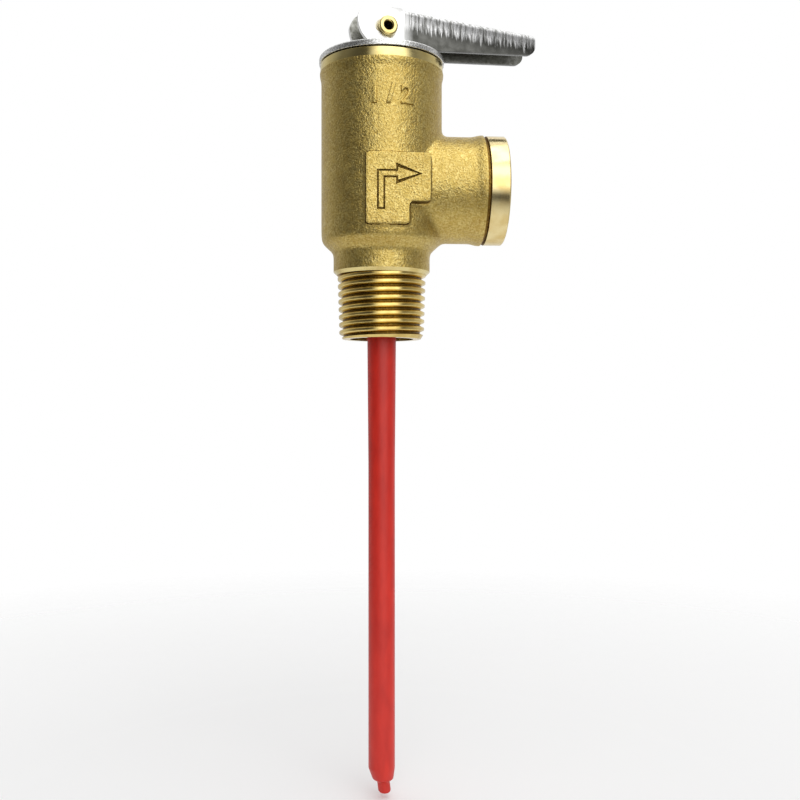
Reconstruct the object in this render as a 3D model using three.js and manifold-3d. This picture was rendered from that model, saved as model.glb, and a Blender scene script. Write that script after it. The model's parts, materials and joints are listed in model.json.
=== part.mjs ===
// A temperature and pressure relief valve for a hot water tank, in millimetres.
// The origin is the centre of the inlet thread's end face, +Z runs up through the valve to its test
// lever, and +X runs out through the side outlet. The long probe hangs below the origin.

import * as THREE from 'three';
import { mergeVertices } from 'three/addons/utils/BufferGeometryUtils.js';
import Module from 'manifold-3d';

const wasm = await Module();
wasm.setup();

// ---- driving dimensions, in millimetres and degrees ----

// inlet: a 1/2 inch taper pipe thread, drawn as rings one pitch apart
const threadMajor = 20.955;
const threadPitch = 1.814;
const threadDepth = 1.162;
const threadTaper = 1 / 16;
const threadLength = 15.1;
const inletWall = 1.34;
const neckStep = 0.95;
const neckLength = 5.5;
const threadRunOut = 1.2;
const threadLeadDepth = 0.7;

// forged body
const bodyHeight = 64.5;
const bodyWall = 2.3;
const shoulderRise = 3.8;
const shoulderSweep = 50;
const upperBoreStep = 1.0;
const passageGap = 1.4;
const floorDepth = 0.4;
const rimProud = 0.35;
const rimHeight = 2.8;

// outlet: a 1/2 inch parallel socket on the body's side
const outletHeight = 35.5;
const outletReach = 28.9;
const outletMinor = 18.63;
const outletWall = 3.5;
const outletBand = 4.6;
const outletDepth = 13.0;
const outletNeckStep = 0.35;
const outletChamfer = 1.1;
const ridgeWidth = 0.7;
const ridgeProud = 0.2;
const ridgeGroove = 0.5;
const passageStep = 1.8;

// raised pad with the flow arrow, placed from the outlet's axis
const padLeft = -4.4;
const padRight = 10.4;
const padBelow = 10.6;
const padAbove = 5.6;
const padProud = 0.5;
const padNotchWidth = 4.8;
const padNotchHeight = 5.1;
const padRound = 0.7;
const padEdge = 0.35;
const padRoot = 0.5;
const arrowStroke = 1.9;
const arrowLeft = -1.83;
const arrowFootBelow = 7.4;
const arrowRise = 0.64;
const arrowHeadBack = 2.46;
const arrowHeadHalf = 2.4;
const arrowTip = 8.47;
const arrowSlant = 2.2;
const grooveWidth = 0.36;
const grooveDepth = 0.35;

// seat and the disc that closes it
const throatStep = 0.6;
const orificeStep = 0.9;
const nozzleHeight = 3.0;
const nozzleWall = 1.8;
const seatLip = 1.0;
const seatWasherReach = 2.2;
const seatWasherThickness = 2.0;
const skirtWall = 0.95;
const skirtDrop = 1.3;
const skirtTaper = 0.8;
const platePlug = 1.4;
const plateThickness = 0.7;
const screwDiameter = 2.8;
const screwHead = 5.2;
const screwHeadHeight = 1.3;
const screwCover = 1.4;
const holderThickness = 3.2;
const holderFloor = 0.6;
const bossHeight = 6.6;
const bossWall = 1.5;

// stem and its clip
const stemDiameter = 5.6;
const footFlange = 1.2;
const footHeight = 2.1;
const stemEndRound = 0.8;
const clipThickness = 1.0;
const clipGroove = 0.4;
const clipOpening = 70;

// pressure spring, its plates, the screw that sets it and the stem's seal
const springWire = 2.2;
const springTurns = 6;
const springInsideGap = 0.5;
const springClosedGap = 0.25;
const springPlateLip = 1.1;
const springLipHeight = 0.6;
const springLipGap = 0.35;
const springPlateThickness = 1.2;
const setScrewDepth = 2.5;
const setScrewHeight = 5.3;
const setScrewSlot = 2.2;
const setScrewSlotDepth = 1.0;
const lockRingHeight = 1.5;
const lockRingWall = 4.4;
const lockNotchWall = 2.0;
const lockNotchWidth = 2.5;
const lockNotchDepth = 0.7;
const sealSection = 1.6;
const sealPocket = 2.6;
const glandThickness = 0.6;

// cap, its gasket and the bush that the stem runs in
const gasketThickness = 0.3;
const gasketInset = 0.8;
const capThickness = 1.4;
const capOverhang = 0.5;
const capBossHeight = 1.7;
const capBossReach = 2.1;
const capSpigotDepth = 1.0;
const capSpigotWall = 1.0;
const capLip = 0.3;
const bushWall = 1.35;
const bushFlange = 0.8;

// test lever: a pressed steel channel on a tubular pin, with cam-shaped ears
const leverTurn = 14;
const leverLiftRange = 90;
const sheet = 1.2;
const leverReach = 38.1;
const leverEndDrop = 5.2;
const leverEndRound = 2.2;
const leverEndSweep = 86;
const leverTop = 4.75;
const leverTopEnd = 2.6;
const leverBelly = 13;
const leverBellyBelow = 4.1;
const leverWebStart = 4.3;
const bendRadius = 1.4;
const camBase = 4.4;
const camRise = 1.65;
const earRound = 1.9;
const heelGap = 0.3;
const pinDiameter = 3.5;
const pinBore = 2.0;
const pinRim = 4.3;
const pinProud = 1.7;
const pinRimLength = 0.7;

// probe: a wax-filled copper capsule in a red sleeve, hung from a three-armed spider
const probeReach = 107.7;
const probeDiameter = 6.3;
const probeTopDiameter = 6.8;
const probeTaperLength = 30;
const probeNib = 3.0;
const probeNibLength = 3.0;
const probeEndRound = 2.9;
const probeEndSweep = 60;
const probeEndWall = 1.8;
const nibRound = 0.8;
const sleeveWall = 0.7;
const sleeveTop = 2.0;
const capsuleWall = 0.6;
const capsuleTop = 6.2;
const capsuleEndRound = 0.5;
const waxTop = -8;
const plugTop = -2;
const slipDiscThickness = 1.0;
const pistonDiameter = 2.4;
const pistonFree = 1.8;
const headTubeWall = 0.6;
const headFlange = 1.3;
const headFlangeHeight = 1.6;
const headNoseHeight = 3.5;
const headNoseWall = 1.05;
const spiderTop = 9.8;
const spiderThickness = 2.2;
const spiderHubWall = 1.4;
const spiderArmWidth = 2.2;
const spiderArms = 3;
const spiderTurn = 30;
const snapRingThickness = 0.8;
const snapRingWall = 1.2;
const snapGrooveDepth = 0.4;

// clearances, edges, how far a cutter runs past a face, and facets
const faceGap = 0.1;
const turnGap = 0.15;
const looseGap = 0.3;
const edgeBreak = 0.3;
const edgeRound = 0.4;
const over = 1;
const bigFacets = 40;
const smallFacets = 24;
const tinyFacets = 12;

// ---- sizes that follow from them ----

const degree = Math.PI / 180;

const threadEndRadius = (threadMajor - threadLength * threadTaper) / 2;
const inletRadius = threadEndRadius - threadDepth - inletWall;
const throatRadius = inletRadius - throatStep;
const orificeRadius = throatRadius - orificeStep;
const nozzleRadius = orificeRadius + nozzleWall;
const neckRadius = threadMajor / 2 + neckStep;
const neckTop = threadLength + neckLength;
const floorHeight = neckTop + floorDepth;
const seatHeight = floorHeight + nozzleHeight;

const stemRadius = stemDiameter / 2;
const footRadius = stemRadius + footFlange;
const bossBore = footRadius + looseGap;
const bossRadius = bossBore + bossWall;
const springInside = bossRadius + springInsideGap;
const springOutside = springInside + springWire;
const plateRadius = springOutside + springPlateLip;
const seatWasherRadius = orificeRadius + seatWasherReach;
const skirtRadius = seatWasherRadius + turnGap + skirtWall;
const holderRadius = Math.max(plateRadius, skirtRadius);
const chamberRadius = holderRadius + passageGap;
const upperRadius = chamberRadius + upperBoreStep;
const bodyRadius = upperRadius + bodyWall;
const rimRadius = bodyRadius + rimProud;

const washerBottom = seatHeight + faceGap;
const holderBottom = washerBottom + seatWasherThickness + faceGap;
const holderTop = holderBottom + holderThickness;
const screwRadius = screwDiameter / 2;
const bossBottom = holderTop + holderFloor;
const screwTop = bossBottom - screwCover;
const footBottom = bossBottom + looseGap;
const footTop = footBottom + footHeight;
const clipBottom = footTop + looseGap;

const setScrewTop = bodyHeight - setScrewDepth;
const setScrewBottom = setScrewTop - setScrewHeight;
const springTop = setScrewBottom - springPlateThickness - 2 * faceGap;
const springBottom = holderTop + springPlateThickness + 2 * faceGap;

const capBottom = bodyHeight + gasketThickness + faceGap;
const capTop = capBottom + capThickness;
const capRadius = bodyRadius + capOverhang;
const bushRadius = stemRadius + turnGap + bushWall;
const capBossTop = capTop + capBossHeight;
const capBossRadius = bushRadius + capBossReach;
const pivotHeight = capBossTop + heelGap + camBase;
const leverInside = stemRadius + looseGap;
const leverOutside = leverInside + sheet;
const pinRadius = pinDiameter / 2;

const outletRadius = outletMinor / 2;
const outletBandRadius = outletRadius + outletWall;
const outletNeckRadius = outletBandRadius - outletNeckStep;
const padFace = Math.max(bodyRadius, outletNeckRadius) + padProud;

const nibTop = -probeReach + probeNibLength;
const sleeveFloor = nibTop + probeEndWall;
const sleeveBore = probeDiameter / 2 - sleeveWall;
const capsuleBottom = sleeveFloor + looseGap;
const capsuleRadius = sleeveBore - faceGap / 2;
const capsuleBore = capsuleRadius - capsuleWall;
const waxRadius = capsuleBore - faceGap / 2;
const headSocket = capsuleRadius + faceGap / 2;
const headTubeRadius = headSocket + headTubeWall;
const headFlangeRadius = headTubeRadius + headFlange;
const headFlangeBottom = spiderTop + faceGap;
const headFlangeTop = headFlangeBottom + headFlangeHeight;
const pistonRadius = pistonDiameter / 2;
const pistonTop = washerBottom - faceGap - plateThickness - faceGap - screwHeadHeight - pistonFree;
const pistonBottom = plugTop + faceGap + slipDiscThickness + faceGap;
const snapRingTop = spiderTop - spiderThickness - faceGap;

// ---- finishes ----

const finish = (color, roughness, metalness) =>
  new THREE.MeshStandardMaterial({ color, roughness, metalness });

const forgedBrass = () => finish(0xb09a4a, 0.5, 0.9);
const turnedBrass = () => finish(0xe8d27a, 0.25, 1.0);
const polishedSteel = () => finish(0xc4c4c0, 0.25, 1.0);
const springSteel = () => finish(0x8a8a88, 0.35, 1.0);
const copper = () => finish(0xb87350, 0.35, 1.0);
const redCoating = () => finish(0xc44135, 0.45, 0.0);
const rubber = () => finish(0x222222, 0.8, 0.0);
const slipPlastic = () => finish(0xeeeeea, 0.5, 0.0);
const wax = () => finish(0xd8c9a0, 0.6, 0.0);

// ---- making solids ----

// A closed geometry becomes a solid: its corners are merged, faces with no area are dropped, and the
// faces are turned round if they point inwards.
function solidOf(geometry) {
  geometry.deleteAttribute('normal');
  geometry.deleteAttribute('uv');
  const merged = mergeVertices(geometry, 1e-4);
  const points = merged.attributes.position.array;
  const faces = [];
  let volume = 0;
  for (let i = 0; i < merged.index.count; i += 3) {
    const [a, b, c] = [0, 1, 2].map((n) => merged.index.getX(i + n));
    if (a === b || b === c || c === a) continue;
    faces.push([a, b, c]);
    const [p, q, r] = [a, b, c].map((n) => new THREE.Vector3().fromArray(points, n * 3));
    volume += p.dot(q.cross(r));
  }
  const outward = volume < 0 ? faces.map(([a, b, c]) => [a, c, b]) : faces;
  return new wasm.Manifold(new wasm.Mesh({
    numProp: 3,
    vertProperties: new Float32Array(points),
    triVerts: new Uint32Array(outward.flat()),
  }));
}

// A turned piece about Z: corners are [radius, height], from the axis to the axis or round a ring.
function turned(corners, facets = bigFacets) {
  const onAxis = corners[0][0] === 0 && corners.at(-1)[0] === 0;
  const outline = onAxis ? corners : [...corners, corners[0]];
  const geometry = new THREE.LatheGeometry(outline.map(([r, z]) => new THREE.Vector2(r, z)), facets);
  return solidOf(geometry.rotateX(Math.PI / 2));
}

const ring = (inner, outer, bottom, top, facets) =>
  turned([[inner, bottom], [outer, bottom], [outer, top], [inner, top]], facets);

const disc = (radius, bottom, top, facets) =>
  turned([[0, bottom], [radius, bottom], [radius, top], [0, top]], facets);

// A flat outline in X and Z, made solid from y = front to y = back.
function upright(shape, front, back, curveSegments = tinyFacets) {
  const depth = back - front;
  const geometry = new THREE.ExtrudeGeometry(shape, { depth, bevelEnabled: false, curveSegments });
  return solidOf(geometry.rotateX(Math.PI / 2).translate(0, back, 0));
}

const box = (x, y, z, width, depth, height) =>
  solidOf(new THREE.BoxGeometry(width, depth, height).translate(x, y, z));

// points on a round corner or rim, from one angle to another, in degrees
function arcPoints(x, y, radius, from, to, steps) {
  return Array.from({ length: steps + 1 }, (_, i) => {
    const angle = (from + ((to - from) * i) / steps) * degree;
    return [x + radius * Math.cos(angle), y + radius * Math.sin(angle)];
  });
}

const shapeOf = (corners) => new THREE.Shape(corners.map(([x, y]) => new THREE.Vector2(x, y)));

function named(name, solid, material) {
  const mesh = solid.getMesh();
  const geometry = new THREE.BufferGeometry();
  geometry.setAttribute('position', new THREE.BufferAttribute(new Float32Array(mesh.vertProperties), 3));
  geometry.setIndex(new THREE.BufferAttribute(new Uint32Array(mesh.triVerts), 1));
  geometry.computeVertexNormals();
  const piece = new THREE.Mesh(geometry, material);
  piece.name = name;
  return piece;
}

// ---- valve body ----

// the taper thread's rings, from the chamfered end face up to the neck
function threadCorners() {
  const rings = Math.floor((threadLength - threadRunOut) / threadPitch);
  const corners = [[threadEndRadius - threadLeadDepth, 0]];
  for (let i = 0; i < rings; i += 1) {
    const crest = threadPitch * (i + 0.5);
    const radius = threadEndRadius + (crest * threadTaper) / 2;
    corners.push([radius, crest], [radius - threadDepth, crest + threadPitch / 2]);
  }
  const last = corners.at(-1);
  corners.push([threadMajor / 2, last[1] + threadPitch / 2], [threadMajor / 2, threadLength]);
  return corners;
}

function bodyOutside() {
  const shoulderCentre = [bodyRadius - shoulderRise, neckTop + shoulderRise];
  const shoulder = arcPoints(...shoulderCentre, shoulderRise, -shoulderSweep, 0, 4);
  return turned([
    [0, 0],
    ...threadCorners(),
    [neckRadius, threadLength],
    [neckRadius, neckTop],
    ...shoulder,
    [bodyRadius, bodyHeight - rimHeight],
    [rimRadius, bodyHeight - rimHeight + rimProud],
    [rimRadius, bodyHeight - rimProud],
    [rimRadius - rimProud, bodyHeight],
    [0, bodyHeight],
  ]);
}

// everything that is bored out from below, and the chamber that is bored out from above
function bodyInside() {
  const inlet = turned([
    [0, -over],
    [inletRadius, -over],
    [inletRadius, snapRingTop - snapRingThickness - faceGap],
    [inletRadius + snapGrooveDepth, snapRingTop - snapRingThickness - faceGap],
    [inletRadius + snapGrooveDepth, snapRingTop + faceGap],
    [inletRadius, snapRingTop + faceGap],
    [inletRadius, spiderTop + faceGap],
    [throatRadius, spiderTop + faceGap],
    [throatRadius, floorHeight - orificeStep],
    [orificeRadius, floorHeight],
    [orificeRadius, seatHeight + over],
    [0, seatHeight + over],
  ]);
  const chamber = turned([
    [0, seatHeight],
    [orificeRadius + seatLip, seatHeight],
    [nozzleRadius, seatHeight - seatLip],
    [nozzleRadius, floorHeight],
    [chamberRadius, floorHeight],
    [chamberRadius, setScrewBottom - looseGap],
    [upperRadius, setScrewBottom - looseGap],
    [upperRadius, bodyHeight + over],
    [0, bodyHeight + over],
  ]);
  return inlet.add(chamber);
}

const towardsOutlet = (solid) => solid.rotate([0, 90, 0]).translate([0, 0, outletHeight]);

function outletOutside() {
  const bandStart = outletReach - outletBand;
  const ridgeEnd = bandStart - ridgeGroove;
  const ridgeRadius = outletBandRadius + ridgeProud;
  return towardsOutlet(turned([
    [0, 0],
    [outletNeckRadius, 0],
    [outletNeckRadius, ridgeEnd - 2 * ridgeWidth],
    [ridgeRadius, ridgeEnd - ridgeWidth],
    [ridgeRadius, ridgeEnd],
    [outletBandRadius - edgeBreak, bandStart],
    [outletBandRadius, bandStart + edgeBreak],
    [outletBandRadius, outletReach - edgeBreak],
    [outletBandRadius - edgeBreak, outletReach],
    [0, outletReach],
  ]));
}

function outletInside() {
  const socketStart = outletReach - outletDepth;
  return towardsOutlet(turned([
    [0, 0],
    [outletRadius - passageStep, 0],
    [outletRadius - passageStep, socketStart],
    [outletRadius, socketStart],
    [outletRadius, outletReach - outletChamfer],
    [outletRadius + outletChamfer, outletReach],
    [outletRadius + outletChamfer, outletReach + over],
    [0, outletReach + over],
  ]));
}

// the L-shaped pad, its top edges rounded in steps towards the front
function padSolid() {
  const outline = (inset) => {
    const bottom = outletHeight - padBelow;
    const left = padLeft + inset;
    const right = padRight - inset;
    const low = bottom + inset;
    const high = outletHeight + padAbove - inset;
    const notchLeft = padRight - padNotchWidth - inset;
    const notchTop = bottom + padNotchHeight + inset;
    const round = padRound;
    return shapeOf([
      ...arcPoints(left + round, low + round, round, 180, 270, 3),
      ...arcPoints(notchLeft - round, low + round, round, 270, 360, 3),
      ...arcPoints(notchLeft + round, notchTop - round, round, 180, 90, 3),
      ...arcPoints(right - round, notchTop + round, round, 270, 360, 3),
      ...arcPoints(right - round, high - round, round, 0, 90, 3),
      ...arcPoints(left + round, high - round, round, 90, 180, 3),
    ]);
  };
  const back = upright(outline(0), -padFace + padEdge, -chamberRadius / 2);
  const front = upright(outline(padEdge), -padFace, -padFace + 2 * padEdge);
  const wall = disc(bodyRadius - padRoot, outletHeight - padBelow - over, outletHeight + padAbove + over);
  return back.add(front).subtract(wall);
}

// the arrow's outline: up from the inlet, round an elbow and out towards the outlet
function arrowGroove() {
  const middle = outletHeight + arrowRise;
  const half = arrowStroke / 2;
  const outline = (inset) => {
    const slant = inset * arrowSlant;
    const left = arrowLeft + inset;
    const right = arrowLeft + arrowStroke - inset;
    const foot = outletHeight - arrowFootBelow + inset;
    return shapeOf([
      [left, foot],
      [right, foot],
      [right, middle - half + inset],
      [arrowHeadBack + inset, middle - half + inset],
      [arrowHeadBack + inset, middle - arrowHeadHalf + slant],
      [arrowTip - slant, middle],
      [arrowHeadBack + inset, middle + arrowHeadHalf - slant],
      [arrowHeadBack + inset, middle + half - inset],
      [left, middle + half - inset],
    ]);
  };
  const front = -padFace - over;
  const back = -padFace + grooveDepth;
  return upright(outline(0), front, back).subtract(upright(outline(grooveWidth), front - over, back + over));
}

function valveBody() {
  const solid = bodyOutside()
    .add(outletOutside())
    .add(padSolid())
    .subtract(bodyInside())
    .subtract(outletInside())
    .subtract(arrowGroove());
  return named('valve_body', solid, forgedBrass());
}

// ---- cap and what seals the stem ----

function topCap() {
  const spigot = upperRadius - faceGap;
  return named('top_cap', turned([
    [bushRadius + faceGap, capBottom],
    [spigot - capSpigotWall, capBottom],
    [spigot - capSpigotWall, capBottom - capSpigotDepth],
    [spigot, capBottom - capSpigotDepth],
    [spigot, capBottom],
    [capRadius - edgeBreak, capBottom],
    [capRadius, capBottom + edgeBreak],
    [capRadius, capTop - edgeRound],
    [capRadius - edgeRound, capTop],
    [capBossRadius + capBossHeight, capTop],
    [capBossRadius, capBossTop],
    [stemRadius + 2 * turnGap, capBossTop],
    [stemRadius + 2 * turnGap, capBossTop - capLip],
    [bushRadius + faceGap, capBossTop - capLip],
  ]), polishedSteel());
}

const capGasket = () => named('cap_gasket',
  ring(upperRadius + 2 * faceGap, rimRadius - gasketInset, bodyHeight + faceGap / 2, capBottom - faceGap / 2,
    smallFacets), rubber());

function stemBush() {
  const inner = stemRadius + turnGap;
  return named('stem_bush', turned([
    [inner, capBottom - faceGap - bushFlange],
    [bushRadius + bushFlange, capBottom - faceGap - bushFlange],
    [bushRadius + bushFlange, capBottom - faceGap],
    [bushRadius, capBottom - faceGap],
    [bushRadius, capBossTop - capLip - faceGap],
    [inner, capBossTop - capLip - faceGap],
  ], smallFacets), slipPlastic());
}

const sealRadius = stemRadius + turnGap + sealSection / 2;
const pocketRadius = sealRadius + sealSection / 2 + faceGap;
const pocketBottom = setScrewTop - sealPocket;

function stemSeal() {
  const round = sealSection / 2;
  const section = arcPoints(sealRadius, pocketBottom + faceGap + round, round, 0, 330, 11);
  return named('stem_oring', turned(section, smallFacets), rubber());
}

const glandWasher = () => named('gland_washer',
  ring(stemRadius + turnGap, pocketRadius - faceGap,
    setScrewTop - faceGap - glandThickness, setScrewTop - faceGap,
    smallFacets), springSteel());

// ---- spring, its plates and the screw that loads it ----

function settingScrew() {
  const solid = turned([
    [stemRadius + turnGap, setScrewBottom],
    [upperRadius - faceGap, setScrewBottom],
    [upperRadius - faceGap, setScrewTop],
    [pocketRadius, setScrewTop],
    [pocketRadius, pocketBottom],
    [stemRadius + turnGap, pocketBottom],
  ], smallFacets);
  const slot = box(0, 0, setScrewTop, 3 * upperRadius, setScrewSlot, 2 * setScrewSlotDepth);
  const outerPart = ring(pocketRadius + over, 2 * upperRadius, setScrewTop - 2 * over, setScrewTop + 2 * over);
  return named('setting_screw', solid.subtract(slot.intersect(outerPart)), turnedBrass());
}

function lockRing() {
  const outer = upperRadius - faceGap;
  const bottom = setScrewTop + faceGap;
  let solid = ring(outer - lockRingWall, outer, bottom, bottom + lockRingHeight, smallFacets);
  for (const turn of [0, 90]) {
    const reach = 2 * (outer - lockNotchWall);
    const notch = box(0, 0, bottom + lockRingHeight, reach, lockNotchWidth, 2 * lockNotchDepth);
    solid = solid.subtract(notch.rotate([0, 0, turn]));
  }
  return named('lock_ring', solid, turnedBrass());
}

function springBottomCup() {
  const inner = bossRadius + 2 * faceGap;
  const lip = springOutside + springLipGap;
  const bottom = holderTop + faceGap;
  const top = bottom + springPlateThickness;
  return named('spring_bottom_cup', turned([
    [inner, bottom],
    [plateRadius, bottom],
    [plateRadius, top + springLipHeight],
    [lip, top + springLipHeight],
    [lip, top],
    [inner, top],
  ], smallFacets), springSteel());
}

const springTopWasher = () => named('spring_top_washer',
  ring(stemRadius + looseGap, plateRadius, springTop + faceGap, springTop + faceGap + springPlateThickness,
    smallFacets), springSteel());

// the spring's wire: two closed end turns with even open turns between them
class CoilPath extends THREE.Curve {
  getPoint(t) {
    const closedPitch = springWire + springClosedGap;
    const rise = springTop - springBottom - springWire;
    const openPitch = (rise - 2 * closedPitch) / (springTurns - 2);
    const turn = t * springTurns;
    const open = THREE.MathUtils.clamp(turn - 1, 0, springTurns - 2);
    const height = springBottom + springWire / 2 + open * openPitch + (turn - open) * closedPitch;
    const radius = springInside + springWire / 2;
    const angle = turn * 2 * Math.PI;
    return new THREE.Vector3(radius * Math.cos(angle), radius * Math.sin(angle), height);
  }
}

function pressureSpring() {
  const wire = shapeOf(arcPoints(0, 0, springWire / 2, 0, 315, 7));
  const geometry = new THREE.ExtrudeGeometry(wire, { steps: springTurns * 11, extrudePath: new CoilPath() });
  return named('pressure_spring', solidOf(geometry), springSteel());
}

// ---- disc and stem ----

function discHolder() {
  const groove = bossBore + clipGroove;
  return named('disc_holder', turned([
    [0, screwTop + looseGap],
    [screwRadius + faceGap, screwTop + looseGap],
    [screwRadius + faceGap, holderBottom],
    [seatWasherRadius + turnGap, holderBottom],
    [seatWasherRadius + turnGap, holderBottom - skirtDrop],
    [skirtRadius, holderBottom - skirtDrop],
    [holderRadius, holderBottom + skirtTaper],
    [holderRadius, holderTop],
    [bossRadius, holderTop],
    [bossRadius, holderTop + bossHeight],
    [bossBore, holderTop + bossHeight],
    [bossBore, clipBottom + clipThickness + faceGap],
    [groove, clipBottom + clipThickness + faceGap],
    [groove, clipBottom - faceGap],
    [bossBore, clipBottom - faceGap],
    [bossBore, bossBottom],
    [0, bossBottom],
  ], smallFacets), turnedBrass());
}

const seatWasher = () => named('seat_washer',
  ring(screwRadius + 2 * faceGap, seatWasherRadius,
    washerBottom, washerBottom + seatWasherThickness, smallFacets),
  rubber());

const washerPlate = () => named('washer_plate',
  ring(screwRadius + turnGap, orificeRadius - platePlug, washerBottom - faceGap - plateThickness,
    washerBottom - faceGap, smallFacets), turnedBrass());

function washerScrew() {
  const headTop = washerBottom - 2 * faceGap - plateThickness;
  return named('washer_screw', turned([
    [0, headTop - screwHeadHeight],
    [screwHead / 2 - edgeRound, headTop - screwHeadHeight],
    [screwHead / 2, headTop - screwHeadHeight + edgeRound],
    [screwHead / 2, headTop],
    [screwRadius, headTop],
    [screwRadius, screwTop],
    [0, screwTop],
  ], smallFacets), springSteel());
}

// a ring with an opening cut in its side, in the plane of the ring
function openRing(inner, outer, bottom, top) {
  const spread = Math.tan((clipOpening / 2) * degree) * 2 * outer;
  const wedge = new THREE.ExtrudeGeometry(shapeOf([[0, 0], [2 * outer, -spread], [2 * outer, spread]]),
    { depth: top - bottom + 2 * over, bevelEnabled: false });
  return ring(inner, outer, bottom, top, smallFacets).subtract(solidOf(wedge.translate(0, 0, bottom - over)));
}

const stemClip = () => named('stem_clip',
  openRing(stemRadius + looseGap, bossBore + clipGroove - faceGap, clipBottom, clipBottom + clipThickness),
  springSteel());

function stem() {
  const top = pivotHeight + stemRadius;
  const solid = turned([
    [0, footBottom],
    [footRadius, footBottom],
    [footRadius, footTop],
    [stemRadius, footTop],
    [stemRadius, top - stemEndRound],
    [stemRadius - stemEndRound, top],
    [0, top],
  ], smallFacets);
  const hole = disc(pinRadius + turnGap, -2 * stemRadius, 2 * stemRadius, smallFacets)
    .rotate([90, 0, 0])
    .translate([0, 0, pivotHeight]);
  return named('stem', solid.subtract(hole), turnedBrass());
}

// ---- lever, drawn along +X from its pivot ----

// How far the cam's edge stands from the pivot grows evenly with the lever's angle, so the edge is an
// involute and the stem rises by camRise for each radian.
function camEdge() {
  const steps = 10;
  return Array.from({ length: steps + 1 }, (_, i) => {
    const angle = (leverLiftRange * degree * i) / steps;
    const support = camBase + camRise * angle;
    return [
      -support * Math.sin(angle) - camRise * Math.cos(angle),
      -support * Math.cos(angle) + camRise * Math.sin(angle),
    ];
  });
}

function leverSide() {
  const [rearX, rearZ] = camEdge().at(-1);
  const rearReach = Math.hypot(rearX, rearZ);
  const rearAngle = Math.atan2(rearZ, rearX) / degree;
  const crownRadius = rearReach - earRound;
  const crownX = -Math.sqrt(crownRadius ** 2 - (leverTop - earRound) ** 2);
  const crownAngle = Math.atan2(leverTop - earRound, crownX) / degree;
  const endLow = leverTopEnd - leverEndDrop;
  const cornerStep = 5;
  return shapeOf([
    ...camEdge().reverse(),
    [leverBelly, -leverBellyBelow],
    ...arcPoints(leverReach - leverEndRound, endLow + leverEndRound, leverEndRound, -leverEndSweep, 0, 5),
    [leverReach, leverTopEnd],
    [leverWebStart, leverTop],
    ...arcPoints(crownX, leverTop - earRound, earRound, 90, crownAngle, 4),
    ...arcPoints(0, 0, rearReach, crownAngle + cornerStep, rearAngle - cornerStep, 2),
  ].reverse());
}

// the channel's outside and inside, as blocks that lie along the sloping web
function channelBlock(halfWidth, top, round) {
  const depth = leverReach;
  const slope = Math.atan2(leverTop - leverTopEnd, leverReach - leverWebStart);
  const corner = (side, from, to) => arcPoints(side * (halfWidth - round), top - round, round, from, to, 3);
  const section = shapeOf([
    [halfWidth, -depth],
    ...corner(1, 0, 90),
    ...corner(-1, 90, 180),
    [-halfWidth, -depth],
  ]);
  const length = leverReach - leverWebStart;
  const geometry = new THREE.ExtrudeGeometry(section, { depth: length + 2 * over, bevelEnabled: false });
  return solidOf(geometry.rotateX(Math.PI / 2).rotateZ(Math.PI / 2))
    .rotate([0, slope / degree, 0])
    .translate([leverWebStart, 0, leverTop]);
}

function leverSolid() {
  const side = upright(leverSide(), -leverOutside, leverOutside);
  const behindWeb = box(-leverReach + leverWebStart, 0, 0, 2 * leverReach, 4 * leverOutside, 4 * leverReach);
  const ears = side.intersect(behindWeb);
  const arm = side.intersect(channelBlock(leverOutside, 0, bendRadius))
    .subtract(channelBlock(leverInside, -sheet, bendRadius - sheet / 2));
  const between = box(-leverReach + leverWebStart, 0, 0, 2 * leverReach, 2 * leverInside, 4 * leverReach);
  const hole = disc(pinRadius + turnGap, -2 * leverOutside, 2 * leverOutside, smallFacets).rotate([90, 0, 0]);
  return ears.subtract(between).add(arm).subtract(hole);
}

function leverPin() {
  const half = leverOutside + pinProud;
  const bore = pinBore / 2;
  const rim = pinRim / 2;
  return turned([
    [bore, -half],
    [rim - edgeBreak, -half],
    [rim, -half + pinRimLength / 2],
    [pinRadius, -half + pinRimLength],
    [pinRadius, half - pinRimLength],
    [rim, half - pinRimLength / 2],
    [rim - edgeBreak, half],
    [bore, half],
  ], smallFacets).rotate([90, 0, 0]);
}

// ---- probe ----

function probeSleeve() {
  const radius = probeDiameter / 2;
  const nib = probeNib / 2;
  return named('probe_sleeve', turned([
    [0, -probeReach],
    [nib - nibRound, -probeReach],
    [nib, -probeReach + nibRound],
    [nib, nibTop],
    ...arcPoints(radius - probeEndRound, nibTop + probeEndRound, probeEndRound, -probeEndSweep, 0, 4),
    [radius, -probeTaperLength],
    [probeTopDiameter / 2, 0],
    [probeTopDiameter / 2, sleeveTop],
    [sleeveBore, sleeveTop],
    [sleeveBore, sleeveFloor],
    [0, sleeveFloor],
  ], smallFacets), redCoating());
}

function probeCapsule() {
  return named('probe_capsule', turned([
    [0, capsuleBottom],
    [capsuleRadius - capsuleEndRound, capsuleBottom],
    [capsuleRadius, capsuleBottom + capsuleEndRound],
    [capsuleRadius, capsuleTop],
    [capsuleBore, capsuleTop],
    [capsuleBore, capsuleBottom + capsuleWall],
    [0, capsuleBottom + capsuleWall],
  ], smallFacets), copper());
}

const waxCharge = () => named('wax_charge',
  disc(waxRadius, capsuleBottom + capsuleWall + looseGap, waxTop, tinyFacets),
  wax());

const waxPlug = () => named('wax_plug', disc(waxRadius, waxTop + faceGap, plugTop, tinyFacets), rubber());

const slipDisc = () => named('slip_disc',
  disc(waxRadius, plugTop + faceGap, pistonBottom - faceGap, tinyFacets),
  slipPlastic());

const piston = () => named('piston', turned([
  [0, pistonBottom],
  [pistonRadius, pistonBottom],
  [pistonRadius, pistonTop - edgeRound],
  [pistonRadius - edgeRound, pistonTop],
  [0, pistonTop],
], smallFacets), polishedSteel());

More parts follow.
